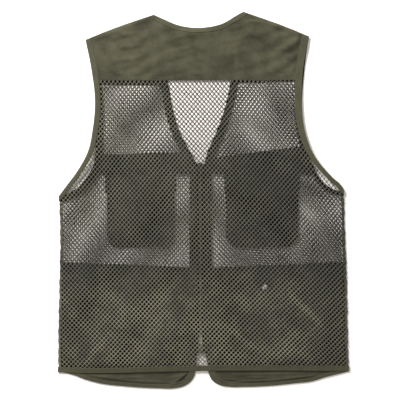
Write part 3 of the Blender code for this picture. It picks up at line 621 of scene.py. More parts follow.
def twill_finish(name, colour, fade=0.3):
    """Cotton twill: fine diagonal ribs, slubs, and soft patches of washed tone and of painted
    light and shade.
    """
    finish = Finish(name)
    ribs = ((finish.axis(0) + finish.axis(1)) * TWILL_RIBS_PER_METRE).sine()
    slubs = finish.noise(900.0, 3.0, 0.6, (1.0, 0.25, 1.0))
    # Soft patches of washed tone, strong enough to stand also for painted light and shade of the
    # folds
    patches = finish.noise(9.0, 3.0, 0.55)
    wash = finish.noise(38.0, 4.0, 0.6)
    tone = ((patches - 0.5) * 2.6 + (wash - 0.5) * 2.4 + (slubs - 0.5) * 1.4 + 0.5).clamped()
    finish.coat(colour, tone, 1.0 - fade, 1.0 + fade, 0.82, slubs, 0.12)
    finish.set(Sheen_Weight=0.04, Sheen_Roughness=0.5, Specular_IOR_Level=0.15)
    finish.bump(ribs * 0.25 + slubs * 0.8 + wash * 0.5, 0.35, 0.0006)
    return finish.material


def shade_finish(name, dark, pale):
    """Painted shade for twill under the net: nearly black, with random patches of painted light
    where the cloth would touch the net.
    """
    finish = Finish(name)
    lit_where_touching = finish.noise(26.0, 2.0, 0.5, (1.0, 0.7, 1.0))
    slubs = finish.noise(900.0, 3.0, 0.6, (1.0, 0.25, 1.0))
    tone = ((lit_where_touching - 0.57) * 7.0 + (slubs - 0.5) * 0.3).clamped()
    finish.set(Base_Color=finish.mix(tone, dark, pale), Roughness=0.85)
    finish.set(Specular_IOR_Level=0.1)
    finish.bump(slubs, 0.3, 0.0006)
    return finish.material


def yarn_finish(name, colour, hem_paler=1.0):
    """Knitted net yarn: small twisted ribs along the strands, paler towards the hem.

    It has random paler and darker patches of uneven dye and of painted light and shade, is
    darker with painted shade towards the sides below the armholes and towards the right, and
    takes the table's patches of painted light and shade. A patch is a dome: one less the
    squares of the distances along and across it.
    """
    finish = Finish(name)
    across, along = finish.axis(0), finish.axis(1)
    low = ((PALER_TOP - along) / PALER_DEPTH).clamped()
    loops = finish.noise(1500.0, 2.0, 0.6)
    # Random patches of uneven dye and of painted light and shade
    patches = finish.noise(14.0, 3.0, 0.5)
    pulls = finish.noise(42.0, 2.0, 0.6)
    tone = (patches - 0.5) * 2.2 + (pulls - 0.5) * 2.0 + (loops - 0.5) * 1.2
    # Painted shade towards the sides below the armholes
    below_arms = ((SIDE_SHADE_TOP - along) * 10.0).clamped()
    outwards = ((across * across - SIDE_SHADE_FROM ** 2) * 22.0).clamped()
    tone = tone - outwards * below_arms * SIDE_SHADE
    # The table's patches of painted light and shade
    for middle_x, middle_y, length, breadth, degrees, gain in YARN_LIGHT_AND_SHADE:
        turn = math.radians(degrees)
        x, y = across - middle_x, along - middle_y
        far = (x * math.cos(turn) + y * math.sin(turn)) / length
        aside = (y * math.cos(turn) - x * math.sin(turn)) / breadth
        tone = tone + (1.0 - far * far - aside * aside).clamped() * gain
    # Painted shade towards the right
    tone = (tone - across * RIGHT_SHADE + 0.5).clamped()
    dark = finish.mix(low, tinted(colour, 0.72), tinted(colour, 0.68 * hem_paler))
    light = finish.mix(low, tinted(colour, 1.32), tinted(colour, 1.36 * hem_paler))
    finish.set(Base_Color=finish.mix(tone, dark, light), Roughness=0.62 + (loops - 0.5) * 0.2)
    finish.set(Sheen_Weight=0.06, Specular_IOR_Level=0.35)
    finish.bump(loops, 0.5, 0.0005)
    return finish.material


def tape_finish(name, colour):
    """Woven tape: ribs across its length, read from its own map, and worn fold edges."""
    finish = Finish(name)
    along = finish.uv("length", 0)
    across = finish.uv("length", 1)
    ribs = (along * TAPE_RIBS_PER_METRE).sine()
    dirt = finish.noise(60.0, 4.0, 0.6)
    fibres = finish.noise(1100.0, 2.0, 0.6)
    fold = (1.0 - across * 3.0).clamped()
    tone = ((dirt - 0.5) * 1.8 + (fibres - 0.5) * 1.0 + fold * 0.35 + ribs * 0.06 + 0.4).clamped()
    finish.coat(colour, tone, 0.84, 1.18, 0.8, fibres, 0.15)
    finish.set(Sheen_Weight=0.04, Specular_IOR_Level=0.15)
    finish.bump(ribs * 0.3 + fibres * 0.8, 0.35, 0.0005)
    return finish.material


def thread_finish(name, colour):
    """Spun thread: twisted ply read along each stitch by fine noise."""
    finish = Finish(name)
    ply = finish.noise(2600.0, 1.0, 0.5)
    finish.coat(colour, ply, 0.8, 1.25, 0.6, ply, 0.2)
    finish.bump(ply, 0.4, 0.0002)
    return finish.material


def plastic_finish(name, colour):
    """Moulded zip teeth: satin plastic with faint mould marks."""
    finish = Finish(name)
    marks = finish.noise(500.0, 2.0, 0.5)
    finish.coat(colour, marks, 0.85, 1.15, 0.42, marks, 0.2)
    finish.bump(marks, 0.15, 0.0002)
    return finish.material


def metal_finish(name, colour):
    """Dull plated metal: brushed streaks and worn, brighter edges."""
    finish = Finish(name)
    streaks = finish.noise(1200.0, 2.0, 0.5, (1.0, 0.1, 1.0))
    wear = finish.noise(300.0, 3.0, 0.6)
    finish.coat(colour, wear, 0.75, 1.15, 0.32, streaks, 0.25)
    finish.set(Metallic=0.9)
    finish.bump(streaks, 0.1, 0.0001)
    return finish.material


def make_piece(name, points, faces, material, smooth=True, sharp=None):
    """Puts world points in millimetres and faces into a mesh piece with its body and slot."""
    mesh = bpy.data.meshes.new(name)
    face_rows = faces.tolist() if isinstance(faces, np.ndarray) else faces
    mesh.from_pydata((points * MM).tolist(), [], face_rows)
    mesh.materials.append(material)
    if smooth:
        mesh.shade_smooth()
    if sharp is not None:
        mesh.set_sharp_from_angle(angle=math.radians(sharp))
    mesh.update()
    item = bpy.data.objects.new(name, mesh)
    bpy.context.scene.collection.objects.link(item)
    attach(item, BODY)
    return item


def grid_faces(rows, columns, start=0, wrap_rows=False, flip=False):
    """Quads over a grid of rows times columns points, closed round its rows if asked."""
    row = np.arange(rows if wrap_rows else rows - 1)
    column = np.arange(columns - 1)
    r, c = np.meshgrid(row, column, indexing="ij")
    after = (r + 1) % rows
    quads = np.stack([r * columns + c, r * columns + c + 1, after * columns + c + 1,
                      after * columns + c], axis=-1).reshape(-1, 4) + start
    return quads[:, ::-1] if flip else quads


# A shell's rim is pushed out by this, and a limit that puts the whole piece in painted shade
RIM_BULGE = 0.25
EVERYWHERE = -1000.0


def shell(name, x, y, under, wall, material, shade=None, shade_above=EVERYWHERE):
    """A cloth wall over a grid: a top and an underside joined by a rounded rim.

    The top stands a wall above the underside, and the rim is one row of points between
    them, pushed out a little. The top's faces further up than the limit take the finish of
    painted shade if one is given.
    """
    rows, columns = x.shape
    low = under(x, y)
    top = np.stack([x, y, low + wall], axis=-1).reshape(-1, 3)
    bottom = np.stack([x, y, low], axis=-1).reshape(-1, 3)
    index = np.arange(rows * columns).reshape(rows, columns)
    ring = np.concatenate([index[0, :-1], index[:-1, -1], index[-1, :0:-1], index[:0:-1, 0]])
    edge = top[ring]
    before = np.roll(edge, 1, axis=0)
    after = np.roll(edge, -1, axis=0)
    run = after - before
    out = np.stack([run[:, 1], -run[:, 0]], axis=1)
    out = out / np.maximum(np.linalg.norm(out, axis=1), 1e-9)[:, None]
    rim = 0.5 * (top[ring] + bottom[ring])
    rim[:, :2] += out * RIM_BULGE
    count = rows * columns
    size = len(ring)
    rim_index = np.arange(size) + 2 * count
    following = np.roll(np.arange(size), -1)
    top_quads = grid_faces(rows, columns)
    bottom_quads = grid_faces(rows, columns, count, flip=True)
    upper = np.stack([ring[following], ring, rim_index, rim_index[following]], axis=1)
    lower = np.stack([rim_index[following], rim_index, ring + count, ring[following] + count],
                     axis=1)
    points = np.concatenate([top, bottom, rim])
    faces = np.concatenate([top_quads, bottom_quads, upper, lower])
    item = make_piece(name, points, faces, material, sharp=60.0)
    if shade is not None:
        item.data.materials.append(shade)
        chosen = np.zeros(len(faces), dtype=np.int32)
        chosen[:len(top_quads)] = top[top_quads, 1].mean(axis=1) > shade_above
        item.data.polygons.foreach_set("material_index", chosen)
    return item


# The net's holes are counted from the hem (low) to the yoke (high)
NET_LOW = -336.0
NET_HIGH = 238.0
# The lattice is worked out this far up and down, and beyond the panel by the margin
NET_REACH = 420.0
NET_MARGIN = 120.0
# Slope of the net's rows at places across the vest: (x, slope)
ROW_SLOPES = [(-420.0, 0.07), (-290.0, 0.06), (-200.0, 0.043), (-96.0, 0.0), (0.0, -0.02),
              (101.0, -0.056), (210.0, -0.13), (290.0, -0.15), (420.0, -0.16)]
# Each net's spacing of the holes across (x) and down (y) at the hem and at the yoke, lean of
# the columns, share of the rows' slope, heights and phase of the slow waves, start of its
# columns, reach across, and places where the holes are pulled open or shut by a share
BACK_NET = {"low_x": 8.8, "high_x": 8.35, "low_y": 8.85, "high_y": 10.0, "lean": -0.045,
            "droop": 1.0, "pull": 1.0, "phase": 0.4, "ripple": 0.12, "origin": -3.0,
            "reach": 400.0,
            "pulls": [{"x": -228.0, "y": 72.0, "reach": 28.0, "share": 0.10},
                      {"x": 247.0, "y": 44.0, "reach": 26.0, "share": 0.13},
                      {"x": -184.0, "y": 158.0, "reach": 42.0, "share": -0.12},
                      {"x": -140.0, "y": 108.0, "reach": 26.0, "share": -0.06}]}
FRONT_NETS = {
    "left": {"low_x": 8.2, "high_x": 7.8, "low_y": 8.7, "high_y": 10.4, "lean": 0.0,
             "droop": 0.3, "pull": 1.6, "phase": 1.3, "ripple": 0.2, "origin": -17.0,
             "reach": 400.0, "pulls": []},
    "right": {"low_x": 8.35, "high_x": 7.98, "low_y": 8.75, "high_y": 10.3, "lean": -0.08,
              "droop": 0.75, "pull": 1.8, "phase": 2.6, "ripple": 0.2, "origin": 16.6,
              "reach": 400.0, "pulls": []},
}
# A net runs this far under a tape and over a side seam, and its yarn covers this share
NET_UNDER_TAPE = 3.0
NET_OVER_SEAM = 1.6


def lattice_points(a, b, net):
    """Where a lattice place (a, b), counted in half holes, lies on the cloth.

    The holes' spacing changes evenly from the hem to the yoke, so the row's height is found
    by summing half spacings upwards. The columns lean, the rows droop towards the sides by
    the sum of the slopes in a table, and slow waves pull the cloth a little.
    """
    heights = np.linspace(NET_LOW - NET_MARGIN, NET_HIGH + NET_MARGIN, 400)
    share = (heights - NET_LOW) / (NET_HIGH - NET_LOW)
    spacing_y = net["low_y"] + (net["high_y"] - net["low_y"]) * share
    rows = np.concatenate([[0.0], np.cumsum(np.diff(heights) * 4.0
                                            / (spacing_y[1:] + spacing_y[:-1]))])
    rows = rows - np.interp(0.0, heights, rows)
    y = np.interp(b, rows, heights)
    spacing_x = net["low_x"] + (net["high_x"] - net["low_x"]) * (y - NET_LOW) / (
        NET_HIGH - NET_LOW)
    x = a * spacing_x / 2.0
    slopes_x = np.linspace(ROW_SLOPES[0][0], ROW_SLOPES[-1][0], 200)
    slopes = np.interp(slopes_x, *np.transpose(ROW_SLOPES))
    droop = np.concatenate([[0.0], np.cumsum(slopes[:-1] * np.diff(slopes_x))])
    droop = droop - np.interp(0.0, slopes_x, droop)
    fade = 1.0 - 0.65 * smooth_step(y / 160.0)
    y = y + net["droop"] * fade * np.interp(x, slopes_x, droop)
    x = x + net["lean"] * y
    pull = net["pull"]
    px = x + pull * (np.sin(y / 71.0 + net["phase"]) + 0.6 * np.sin(x / 53.0 + y / 160.0))
    py = y + pull * (np.sin(x / 64.0 + net["phase"]) + 0.7 * np.sin(y / 47.0 + x / 120.0))
    ripple = net["ripple"]
    px = px + ripple * np.sin(x / 17.0 + 2.0 * np.sin(y / 39.0 + net["phase"]))
    py = py + ripple * np.sin(y / 19.0 + 2.0 * np.sin(x / 31.0 + net["phase"]))
    return px + net["origin"], py


def net_piece(name, net, inside, drape, wall, material):
    """Open net: a mesh of yarns round holes that stand in staggered rows.

    Each hole has an eight-sided rim at half the yarn's height. Yarns meet at a crossing on
    each side of the hole, and the crossings are the yarn's ridge above and below, so a yarn
    is a rhombus in section and smooth shading rounds it. The net's edge is a low wall.
    Near each of the net's pulls the holes are wider or narrower, by a bell curve of the
    distance.
    """
    reach_a = int(2 * net["reach"] / net["high_x"]) + 6
    reach_b = int(2 * NET_REACH / net["low_y"]) + 6
    a, b = np.meshgrid(np.arange(-reach_a, reach_a + 1), np.arange(-reach_b, reach_b + 1),
                       indexing="ij")
    hole = (a + b) % 2 == 0
    a, b = a[hole], b[hole]
    x, y = lattice_points(a, b, net)
    keep = inside(x, y)
    a, b = a[keep], b[keep]
    corners = np.stack([np.stack([a + 1, b]), np.stack([a, b + 1]),
                        np.stack([a - 1, b]), np.stack([a, b - 1])])
    span = 4 * reach_b + 8
    keys = (corners[:, 0] + 2 * reach_a) * span + corners[:, 1] + 2 * reach_b
    unique, which = np.unique(keys.ravel(), return_inverse=True)
    which = which.reshape(4, -1)
    node_a = unique // span - 2 * reach_a
    node_b = unique % span - 2 * reach_b
    nx, ny = lattice_points(node_a, node_b, net)
    long, short = net["hole_long"], net["hole_short"]
    rim_x = np.array([long, short, -short, -long, -long, -short, short, long])
    rim_y = np.array([short, long, long, short, -short, -long, -long, -short])
    open_share = np.ones(a.size)
    for pull in net["pulls"]:
        away = (x[keep] - pull["x"]) ** 2 + (y[keep] - pull["y"]) ** 2
        open_share = open_share + pull["share"] * np.exp(-away / pull["reach"] ** 2)
    rim_a = a[None, :] + rim_x[:, None] * open_share
    rim_b = b[None, :] + rim_y[:, None] * open_share
    rx, ry = lattice_points(rim_a, rim_b, net)
    half = net["yarn_height"] / 2.0
    node_z = drape(nx, ny) + wall / 2.0
    rim_z = drape(rx, ry) + wall / 2.0
    count = len(unique)
    holes = a.size
    points = np.concatenate([
        np.stack([nx, ny, node_z + half], axis=1),
        np.stack([nx, ny, node_z - half], axis=1),
        np.stack([rx.ravel(), ry.ravel(), rim_z.ravel()], axis=1)])
    rim = (2 * count + np.arange(8 * holes)).reshape(8, holes)
    quads = []
    triangles = []
    for k in range(4):
        here, following = which[k], which[(k + 1) % 4]
        near, far = rim[2 * k], rim[2 * k + 1]
        back_rim = rim[(2 * k - 1) % 8]
        quads.append(np.stack([here, following, far, near], axis=1))
        quads.append(np.stack([near, far, following + count, here + count], axis=1))
        triangles.append(np.stack([here, near, back_rim], axis=1))
        triangles.append(np.stack([here + count, back_rim, near], axis=1))
    sides = np.concatenate([np.stack([which[k], which[(k + 1) % 4]], axis=1) for k in range(4)])
    edge_key = np.sort(sides, axis=1) @ np.array([count + 1, 1])
    _, first, times = np.unique(edge_key, return_index=True, return_counts=True)
    free = sides[first[times == 1]]
    quads.append(np.stack([free[:, 1], free[:, 0], free[:, 0] + count, free[:, 1] + count],
                          axis=1))
    faces = np.concatenate(quads).tolist() + np.concatenate(triangles).tolist()
    return make_piece(name, points, faces, material)


def half_round(height):
    """Half a circle from the underside to the top, at the free edge of a section."""
    angle = np.linspace(-math.pi / 2, math.pi / 2, 7)
    radius = height / 2.0
    return np.stack([radius - radius * np.cos(angle), radius + radius * np.sin(angle)], axis=1)


def tape_profile(width, wall):
    """Closed section of a folded tape: share of its width, and height over the underside.

    The free edge is a half round, the top has a shallow groove where the stitches sit,
    the body edge falls away in a small round, and the underside is flat.
    """
    flat = np.linspace(0.22, 0.9, 8)[:, None] * width
    dip = TAPE_GROOVE * np.exp(-((flat - (width - STITCH_INSET)) / 0.9) ** 2)
    top = np.concatenate([flat, wall - dip], axis=1)
    close = np.array([[width - 0.45, wall - 0.12], [width - 0.1, wall - 0.5],
                      [width, wall * 0.45], [width - 0.15, 0.12]])
    under = np.array([[width - 0.6, 0.0], [width * 0.66, 0.0], [width * 0.33, 0.0]])
    return np.concatenate([half_round(wall), top, close, under])


def tape(name, outer, inner, drape, wall, material, slot="binding", shade=None,
         profile=None):
    """A folded tape: its section carried along two paths, outer edge to body edge.

    Its upper faces take the finish of painted shade if one is given.
    """
    width = np.linalg.norm(inner - outer, axis=1)
    if profile is None:
        profile = tape_profile(float(np.median(width)), wall)
    share = profile[:, 0] / profile[:, 0].max()
    steps, around = len(outer), len(profile)
    flat = outer[:, None, :] + (inner - outer)[:, None, :] * share[None, :, None]
    x, y = flat[..., 0], flat[..., 1]
    z = drape(x, y) + profile[None, :, 1]
    points = np.stack([x, y, z], axis=-1)
    points = points.transpose(1, 0, 2).reshape(-1, 3)
    ahead, aside = outer[1] - outer[0], inner[0] - outer[0]
    inner_is_left = ahead[0] * aside[1] > ahead[1] * aside[0]
    quads = grid_faces(around, steps, wrap_rows=True, flip=inner_is_left)
    caps = [list(range(0, around * steps, steps)),
            list(range(steps - 1, around * steps, steps))]
    turned = 1 if inner_is_left else 0
    caps[turned] = caps[turned][::-1]
    item = make_piece(name, points, quads.tolist() + caps, material, sharp=60.0)
    if shade is not None:
        item.data.materials.append(shade)
        following = np.roll(profile, -1, axis=0)
        rising = following[:, 0] > profile[:, 0] + 1e-6
        high = 0.5 * (following[:, 1] + profile[:, 1]) > 0.5 * profile[:, 1].min() + 0.2
        upper = np.repeat(rising & high, steps - 1)
        chosen = np.concatenate([upper, [False, False]]).astype(np.int32)
        item.data.polygons.foreach_set("material_index", chosen)
    length = np.concatenate([[0.0], np.cumsum(np.linalg.norm(np.diff(outer, axis=0), axis=1))])
    place = np.stack(np.broadcast_arrays(length[None, :] * MM, share[:, None]), axis=-1)
    write_map(item.data, place.reshape(-1, 2))
    return item


def write_map(mesh, places):
    """Writes a UV map called length from one pair of numbers a point."""
    layer = mesh.uv_layers.new(name="length")
    corner = np.empty(len(mesh.loops), dtype=np.int32)
    mesh.loops.foreach_get("vertex_index", corner)
    layer.data.foreach_set("uv", places[corner].astype(np.float32).ravel())


def stitch_row(path, drape, above, length=2.9, gap=0.75, radius=0.27):
    """Points and faces of a row of stitches that lies on the drape along a path.

    Each stitch is a six-sided spindle: rings across it at shares of its length, thin at
    both ends, sunk by half its radius.
    """
    steps = np.linalg.norm(np.diff(path, axis=0), axis=1)
    place = np.concatenate([[0.0], np.cumsum(steps)])
    count = int(place[-1] / (length + gap))
    start = (np.arange(count) + 0.2) * (length + gap)
    shares = np.array([0.0, 0.12, 0.5, 0.88, 1.0])
    sizes = np.array([0.25, 0.85, 1.0, 0.85, 0.25]) * radius
    lifts = np.array([-0.3, 0.1, 0.3, 0.1, -0.3]) * radius
    at = start[:, None] + shares[None, :] * length
    x = np.interp(at, place, path[:, 0])
    y = np.interp(at, place, path[:, 1])
    run = np.stack([x[:, -1] - x[:, 0], y[:, -1] - y[:, 0]], axis=1)
    run = run / np.linalg.norm(run, axis=1)[:, None]
    side = np.stack([-run[:, 1], run[:, 0]], axis=1)
    angle = np.arange(6) * math.pi / 3.0
    across = np.cos(angle)[None, None, :] * sizes[None, :, None]
    up = np.sin(angle)[None, None, :] * sizes[None, :, None]
    px = x[:, :, None] + side[:, 0][:, None, None] * across
    py = y[:, :, None] + side[:, 1][:, None, None] * across
    pz = (drape(x, y) + above)[:, :, None] + lifts[None, :, None] + up
    points = np.stack([px, py, pz], axis=-1).reshape(-1, 3)
    ring = np.arange(6)
    following = (ring + 1) % 6
    base = np.arange(count)[:, None, None] * 30 + np.arange(4)[None, :, None] * 6
    quads = np.stack([base + ring, base + following, base + 6 + following, base + 6 + ring],
                     axis=-1).reshape(-1, 4)
    first = np.arange(count) * 30
    ends = []
    for offset, order in ((0, ring[::-1]), (24, ring)):
        for half in ((0, 1, 2, 3), (0, 3, 4, 5)):
            ends.append(np.stack([first + offset + order[k] for k in half], axis=1))
    return points, np.concatenate([quads, *ends])


def join_rows(rows):
    """Joins several sets of points and faces into one."""
    points = []
    faces = []
    start = 0
    for row_points, row_faces in rows:
        points.append(row_points)
        faces.append(row_faces + start)
        start += len(row_points)
    return np.concatenate(points), np.concatenate(faces)


class VestSizes(bpy.types.PropertyGroup):
    hole_share: FloatProperty(name="Hole size", default=0.578,
                              description="Half a hole over half the spacing of the holes")
    front_hole_share: FloatProperty(name="Front hole size", default=0.55,
                                    description="The same share for the nets of the fronts")
    hole_corner: FloatProperty(name="Hole corner", default=0.17,
                               description="Half a hole's short side over half the spacing")
    yarn_height: FloatProperty(name="Yarn height", default=0.0011, unit="LENGTH",
                               description="Thickness of the net's yarn")
    net_wall: FloatProperty(name="Net panel thickness", default=0.0012, unit="LENGTH",
                            description="Thickness of the space that a net panel fills")
    twill_wall: FloatProperty(name="Twill thickness", default=0.0012, unit="LENGTH",
                              description="Thickness of the solid cloth")
    tape_wall: FloatProperty(name="Tape thickness", default=0.0018, unit="LENGTH",
                             description="Thickness of a folded binding tape")


class VestColours(bpy.types.PropertyGroup):
    twill: FloatVectorProperty(name="Twill", subtype="COLOR", default=(0.0462, 0.0439, 0.0258),
                               description="Colour of the solid cloth")
    net: FloatVectorProperty(name="Net", subtype="COLOR", default=(0.0690, 0.0645, 0.0425),
                             description="Colour of the net's yarn")
    # The shade colour is painted shade: nearly black, for the inner cloth that lies in the dark
    # between the layers.
    shade: FloatVectorProperty(name="Shade", subtype="COLOR", default=(0.0032, 0.0030, 0.0020),
                               description="Colour of the inner cloth between the layers")
    tape: FloatVectorProperty(name="Tape", subtype="COLOR", default=(0.0560, 0.0537, 0.0316),
                              description="Colour of the bindings")
    thread: FloatVectorProperty(name="Thread", subtype="COLOR", default=(0.0770, 0.0735, 0.0462),
                                description="Colour of the sewing thread")
    zip_teeth: FloatVectorProperty(name="Zip teeth", subtype="COLOR",
                                   default=(0.0470, 0.0460, 0.0360),
                                   description="Colour of the moulded teeth")
    metal: FloatVectorProperty(name="Metal", subtype="COLOR", default=(0.5600, 0.5500, 0.5300),
                               description="Colour of the stud")


# The materials made so far; how much paler the net is at its hem; and how dark the fronts'
# nets are painted, as painted shade under the back's net, as shares of its colour
FINISHES = {}
NET_HEM_PALER = 1.86
FRONT_NET_SHADES = {"left": 0.2, "right": 0.1}


def finish_of(name):
    """The vest's materials, each made once from the scene's colours."""
    if not FINISHES:
        colours = bpy.context.scene.vest_colours
        twill, net = tuple(colours.twill), tuple(colours.net)
        teeth = tuple(colours.zip_teeth)
        FINISHES["twill"] = twill_finish("olive_twill_weave", twill)
        FINISHES["inner_twill"] = twill_finish("olive_twill_inside", tinted(twill, 0.92), 0.2)
        # The shade finish is painted shade for cloth in the dark between the layers, with patches
        # of painted light.
        FINISHES["shade"] = shade_finish("olive_twill_in_shade", tuple(colours.shade),
                                         tinted(twill, 0.55))
        # The half shade is the twill darkened as painted half shade, for pocket cloth over the
        # flaps
        FINISHES["half_shade"] = twill_finish("olive_flap_in_shade", tinted(twill, 0.5))
        FINISHES["net"] = yarn_finish("olive_net_yarn", net, NET_HEM_PALER)
        # The fronts' nets take a darker copy of the yarn as painted shade under the back's net
        for side, share in FRONT_NET_SHADES.items():
            FINISHES[f"front_net_{side}"] = yarn_finish(f"olive_front_net_yarn_{side}",
                                                        tinted(net, share))
        # The side seams' yarn is darkened by a share as painted shade under the back net's last
        # holes
        FINISHES["seam_net"] = yarn_finish("olive_seam_net_yarn", tinted(net, 0.75), NET_HEM_PALER)
        FINISHES["tape"] = tape_finish("olive_binding_tape", tuple(colours.tape))
        FINISHES["thread"] = thread_finish("olive_thread", tuple(colours.thread))
        FINISHES["teeth"] = plastic_finish("olive_zip_teeth", teeth)
        # Near-black metal for the slider and pull tab under the net: painted shade, not the
        # metal's own colour
        FINISHES["painted"] = plastic_finish("zip_metal_in_painted_shade", tinted(teeth, 0.2))
        FINISHES["metal"] = metal_finish("dull_stud_metal", tuple(colours.metal))
    return FINISHES[name]


def net_settings(table, share):
    """A net's table with the sizes of its holes and yarn."""
    sizes = bpy.context.scene.vest_sizes
    return {**table, "hole_long": share, "hole_short": sizes.hole_corner,
            "yarn_height": sizes.yarn_height / MM}


def hem_line(x):
    """Lower edge of the back, which hangs a little lower on the left."""
    return edge_at(smooth_path(HEM_LINE, 61), 0)(x)


class VEST_OT_back_net(bpy.types.Operator):
    """Makes the back's net panel, with every hole open, on the back's drape"""
    bl_idname = "vest.back_net"
    bl_label = "Back net"

    def execute(self, context):
        wall = context.scene.vest_sizes.net_wall / MM
        left = body_edge("left", BACK_ARM_LEFT, 0.0)
        right = body_edge("right", BACK_ARM_RIGHT, 0.0)

        def inside(x, y):
            """Whether a hole lies in the panel, or a little under its tapes."""
            bottom = hem_line(x) + HEM_WIDTH
            margin = np.where(y > ARM_END, NET_UNDER_TAPE, NET_OVER_SEAM)
            return ((x > left(y) - margin) & (x < right(y) + margin)
                    & (y > bottom - NET_UNDER_TAPE) & (y < BACK_YOKE_SEAM + NET_UNDER_TAPE))

        net = net_settings(BACK_NET, context.scene.vest_sizes.hole_share)
        piece = net_piece("back_net_mesh", net, inside, back_drape, wall, finish_of("net"))
        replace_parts(piece, "back_net")
        return {"FINISHED"}


class VEST_OT_front_nets(bpy.types.Operator):
    """Makes the net of each front, from its yoke down to the back hem, inside the twill"""
    bl_idname = "vest.front_nets"
    bl_label = "Front nets"

    def execute(self, context):
        wall = context.scene.vest_sizes.net_wall / MM
        for side, table in SIDES.items():
            outer = body_edge(side, table["front_arm"], 0.0)
            _, facing = facing_paths(side, 2.5, 91)
            middle = edge_at(facing, 1)
            yoke_seam = slanted(FRONT_YOKE_LINES[side])

            def inside(x, y, side=side, outer=outer, middle=middle, yoke_seam=yoke_seam):
                """Whether a hole lies in the panel, or a little under the armhole's tape."""
                first, last = (outer, middle) if side == "left" else (middle, outer)
                arm = np.where(y > ARM_END, NET_UNDER_TAPE, 0.0)
                low, high = (arm, 0.0) if side == "left" else (0.0, arm)
                return ((x > first(y) - low) & (x < last(y) + high)
                        & (y > hem_line(x) + HEM_WIDTH + 5.0) & (y < yoke_seam(x) + 0.5))

            net = net_settings(FRONT_NETS[side], context.scene.vest_sizes.front_hole_share)
            piece = net_piece(f"front_net_mesh_{side}", net, inside, front_net_drape, wall,
                              finish_of(f"front_net_{side}"))
            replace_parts(piece, f"front_net_{side}", f"window_net_{side}")
        return {"FINISHED"}


def front_net_drape(x, y):
    """The front net lies on the inner cloth of its front."""
    return front_drape(x, y) + INNER_WALL


class VEST_OT_back_yoke(bpy.types.Operator):
    """Makes the twill back yoke with its folds and fine creases"""
    bl_idname = "vest.back_yoke"
    bl_label = "Back yoke"

    def execute(self, context):
        _, inner = neck_paths(NECK_WIDTH - 1.5, 61)
        left_line = smooth_path(SHOULDER_LEFT, 33)
        right_line = smooth_path(SHOULDER_RIGHT, 33)
        left_keep = left_line[left_line[:, 0] < inner[0, 0] - 1.0]
        right_keep = right_line[right_line[:, 0] > inner[-1, 0] + 1.0]
        top = edge_at(np.concatenate([left_keep, inner, right_keep]), 0)
        left = body_edge("left", BACK_ARM_LEFT, 2.0)
        right = body_edge("right", BACK_ARM_RIGHT, 2.0)
        start = left(SHOULDER_LEFT[0][1])
        width = right(SHOULDER_RIGHT[-1][1]) - start
        neck_shares = (inner[:, 0] - start) / width
        across = np.concatenate([neck_shares[0] * even(44)[:-1], neck_shares,
                                 neck_shares[-1] + (1.0 - neck_shares[-1]) * even(44)[1:]])
        x, y = panel_grid(left, right, level(BACK_YOKE_SEAM - 1.2), top, across, even(64))
        piece = shell("back_yoke_cloth", x, y, yoke_drape, YOKE_WALL, finish_of("twill"))
        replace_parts(piece, "back_yoke")
        return {"FINISHED"}


class VEST_OT_tapes(bpy.types.Operator):
    """Makes the folded tapes of the neck, armholes, back hem and front hems"""
    bl_idname = "vest.tapes"
    bl_label = "Binding tapes"

    def execute(self, context):
        wall = context.scene.vest_sizes.tape_wall / MM
        cloth = finish_of("tape")
        neck, inner = neck_paths(NECK_WIDTH, 81)
        piece = tape("neck_tape", neck, inner, yoke_drape, wall + NECK_EXTRA, cloth)
        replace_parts(piece, "neck_binding")
        hem_x = np.linspace(SIDE_LEFT[-1][0], SIDE_RIGHT[-1][0], 181)
        outer = np.stack([hem_x, hem_line(hem_x)], axis=1)
        inner = outer + np.array([0.0, HEM_WIDTH])
        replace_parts(tape("back_hem_tape", outer, inner, back_drape, wall, cloth),
                    "back_hem_binding")
        for side, table in SIDES.items():
            outer, inner = arm_paths(table["arm"], side, ARM_WIDTH, 121)
            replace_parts(tape(f"back_arm_tape_{side}", outer, inner, back_drape, wall, cloth),
                        f"back_arm_binding_{side}")
            outer, inner = arm_paths(table["front_arm"], side, FRONT_ARM_WIDTHS[side], 121)
            # The front armhole tapes lie under the back's net, and their tops take painted shade
            piece = tape(f"front_arm_tape_{side}", outer, inner, front_drape, wall, cloth,
                         shade=finish_of("shade"))
            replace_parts(piece, f"front_arm_binding_{side}")
            outer, inner = hem_paths(side, 0.0, 141)
            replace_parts(tape(f"front_hem_tape_{side}", outer, inner, hem_drape, wall, cloth),
                        f"front_hem_binding_{side}")
        return {"FINISHED"}


def facing_profile(width):
    """Section of a facing: a rolled free edge, then one flat layer of cloth."""
    flat = np.array([[2.0, 1.35], [2.6, 0.8], [3.2, INNER_WALL], [width * 0.5, INNER_WALL],
                     [width - 0.2, INNER_WALL], [width, 0.2]])
    under = np.array([[width - 0.2, 0.0], [width * 0.66, 0.0], [width * 0.33, 0.0]])
    return np.concatenate([half_round(FACING_BEAD), flat, under])


def front_sides(side, table, seam_trim, facing_trim):
    """Left and right edges of a front's panel, as x of y."""
    outer = body_edge(side, table["front_arm"], seam_trim)
    _, facing = facing_paths(side, FACING_WIDTH - facing_trim, 91)
    middle = edge_at(facing, 1)
    return (outer, middle) if side == "left" else (middle, outer)


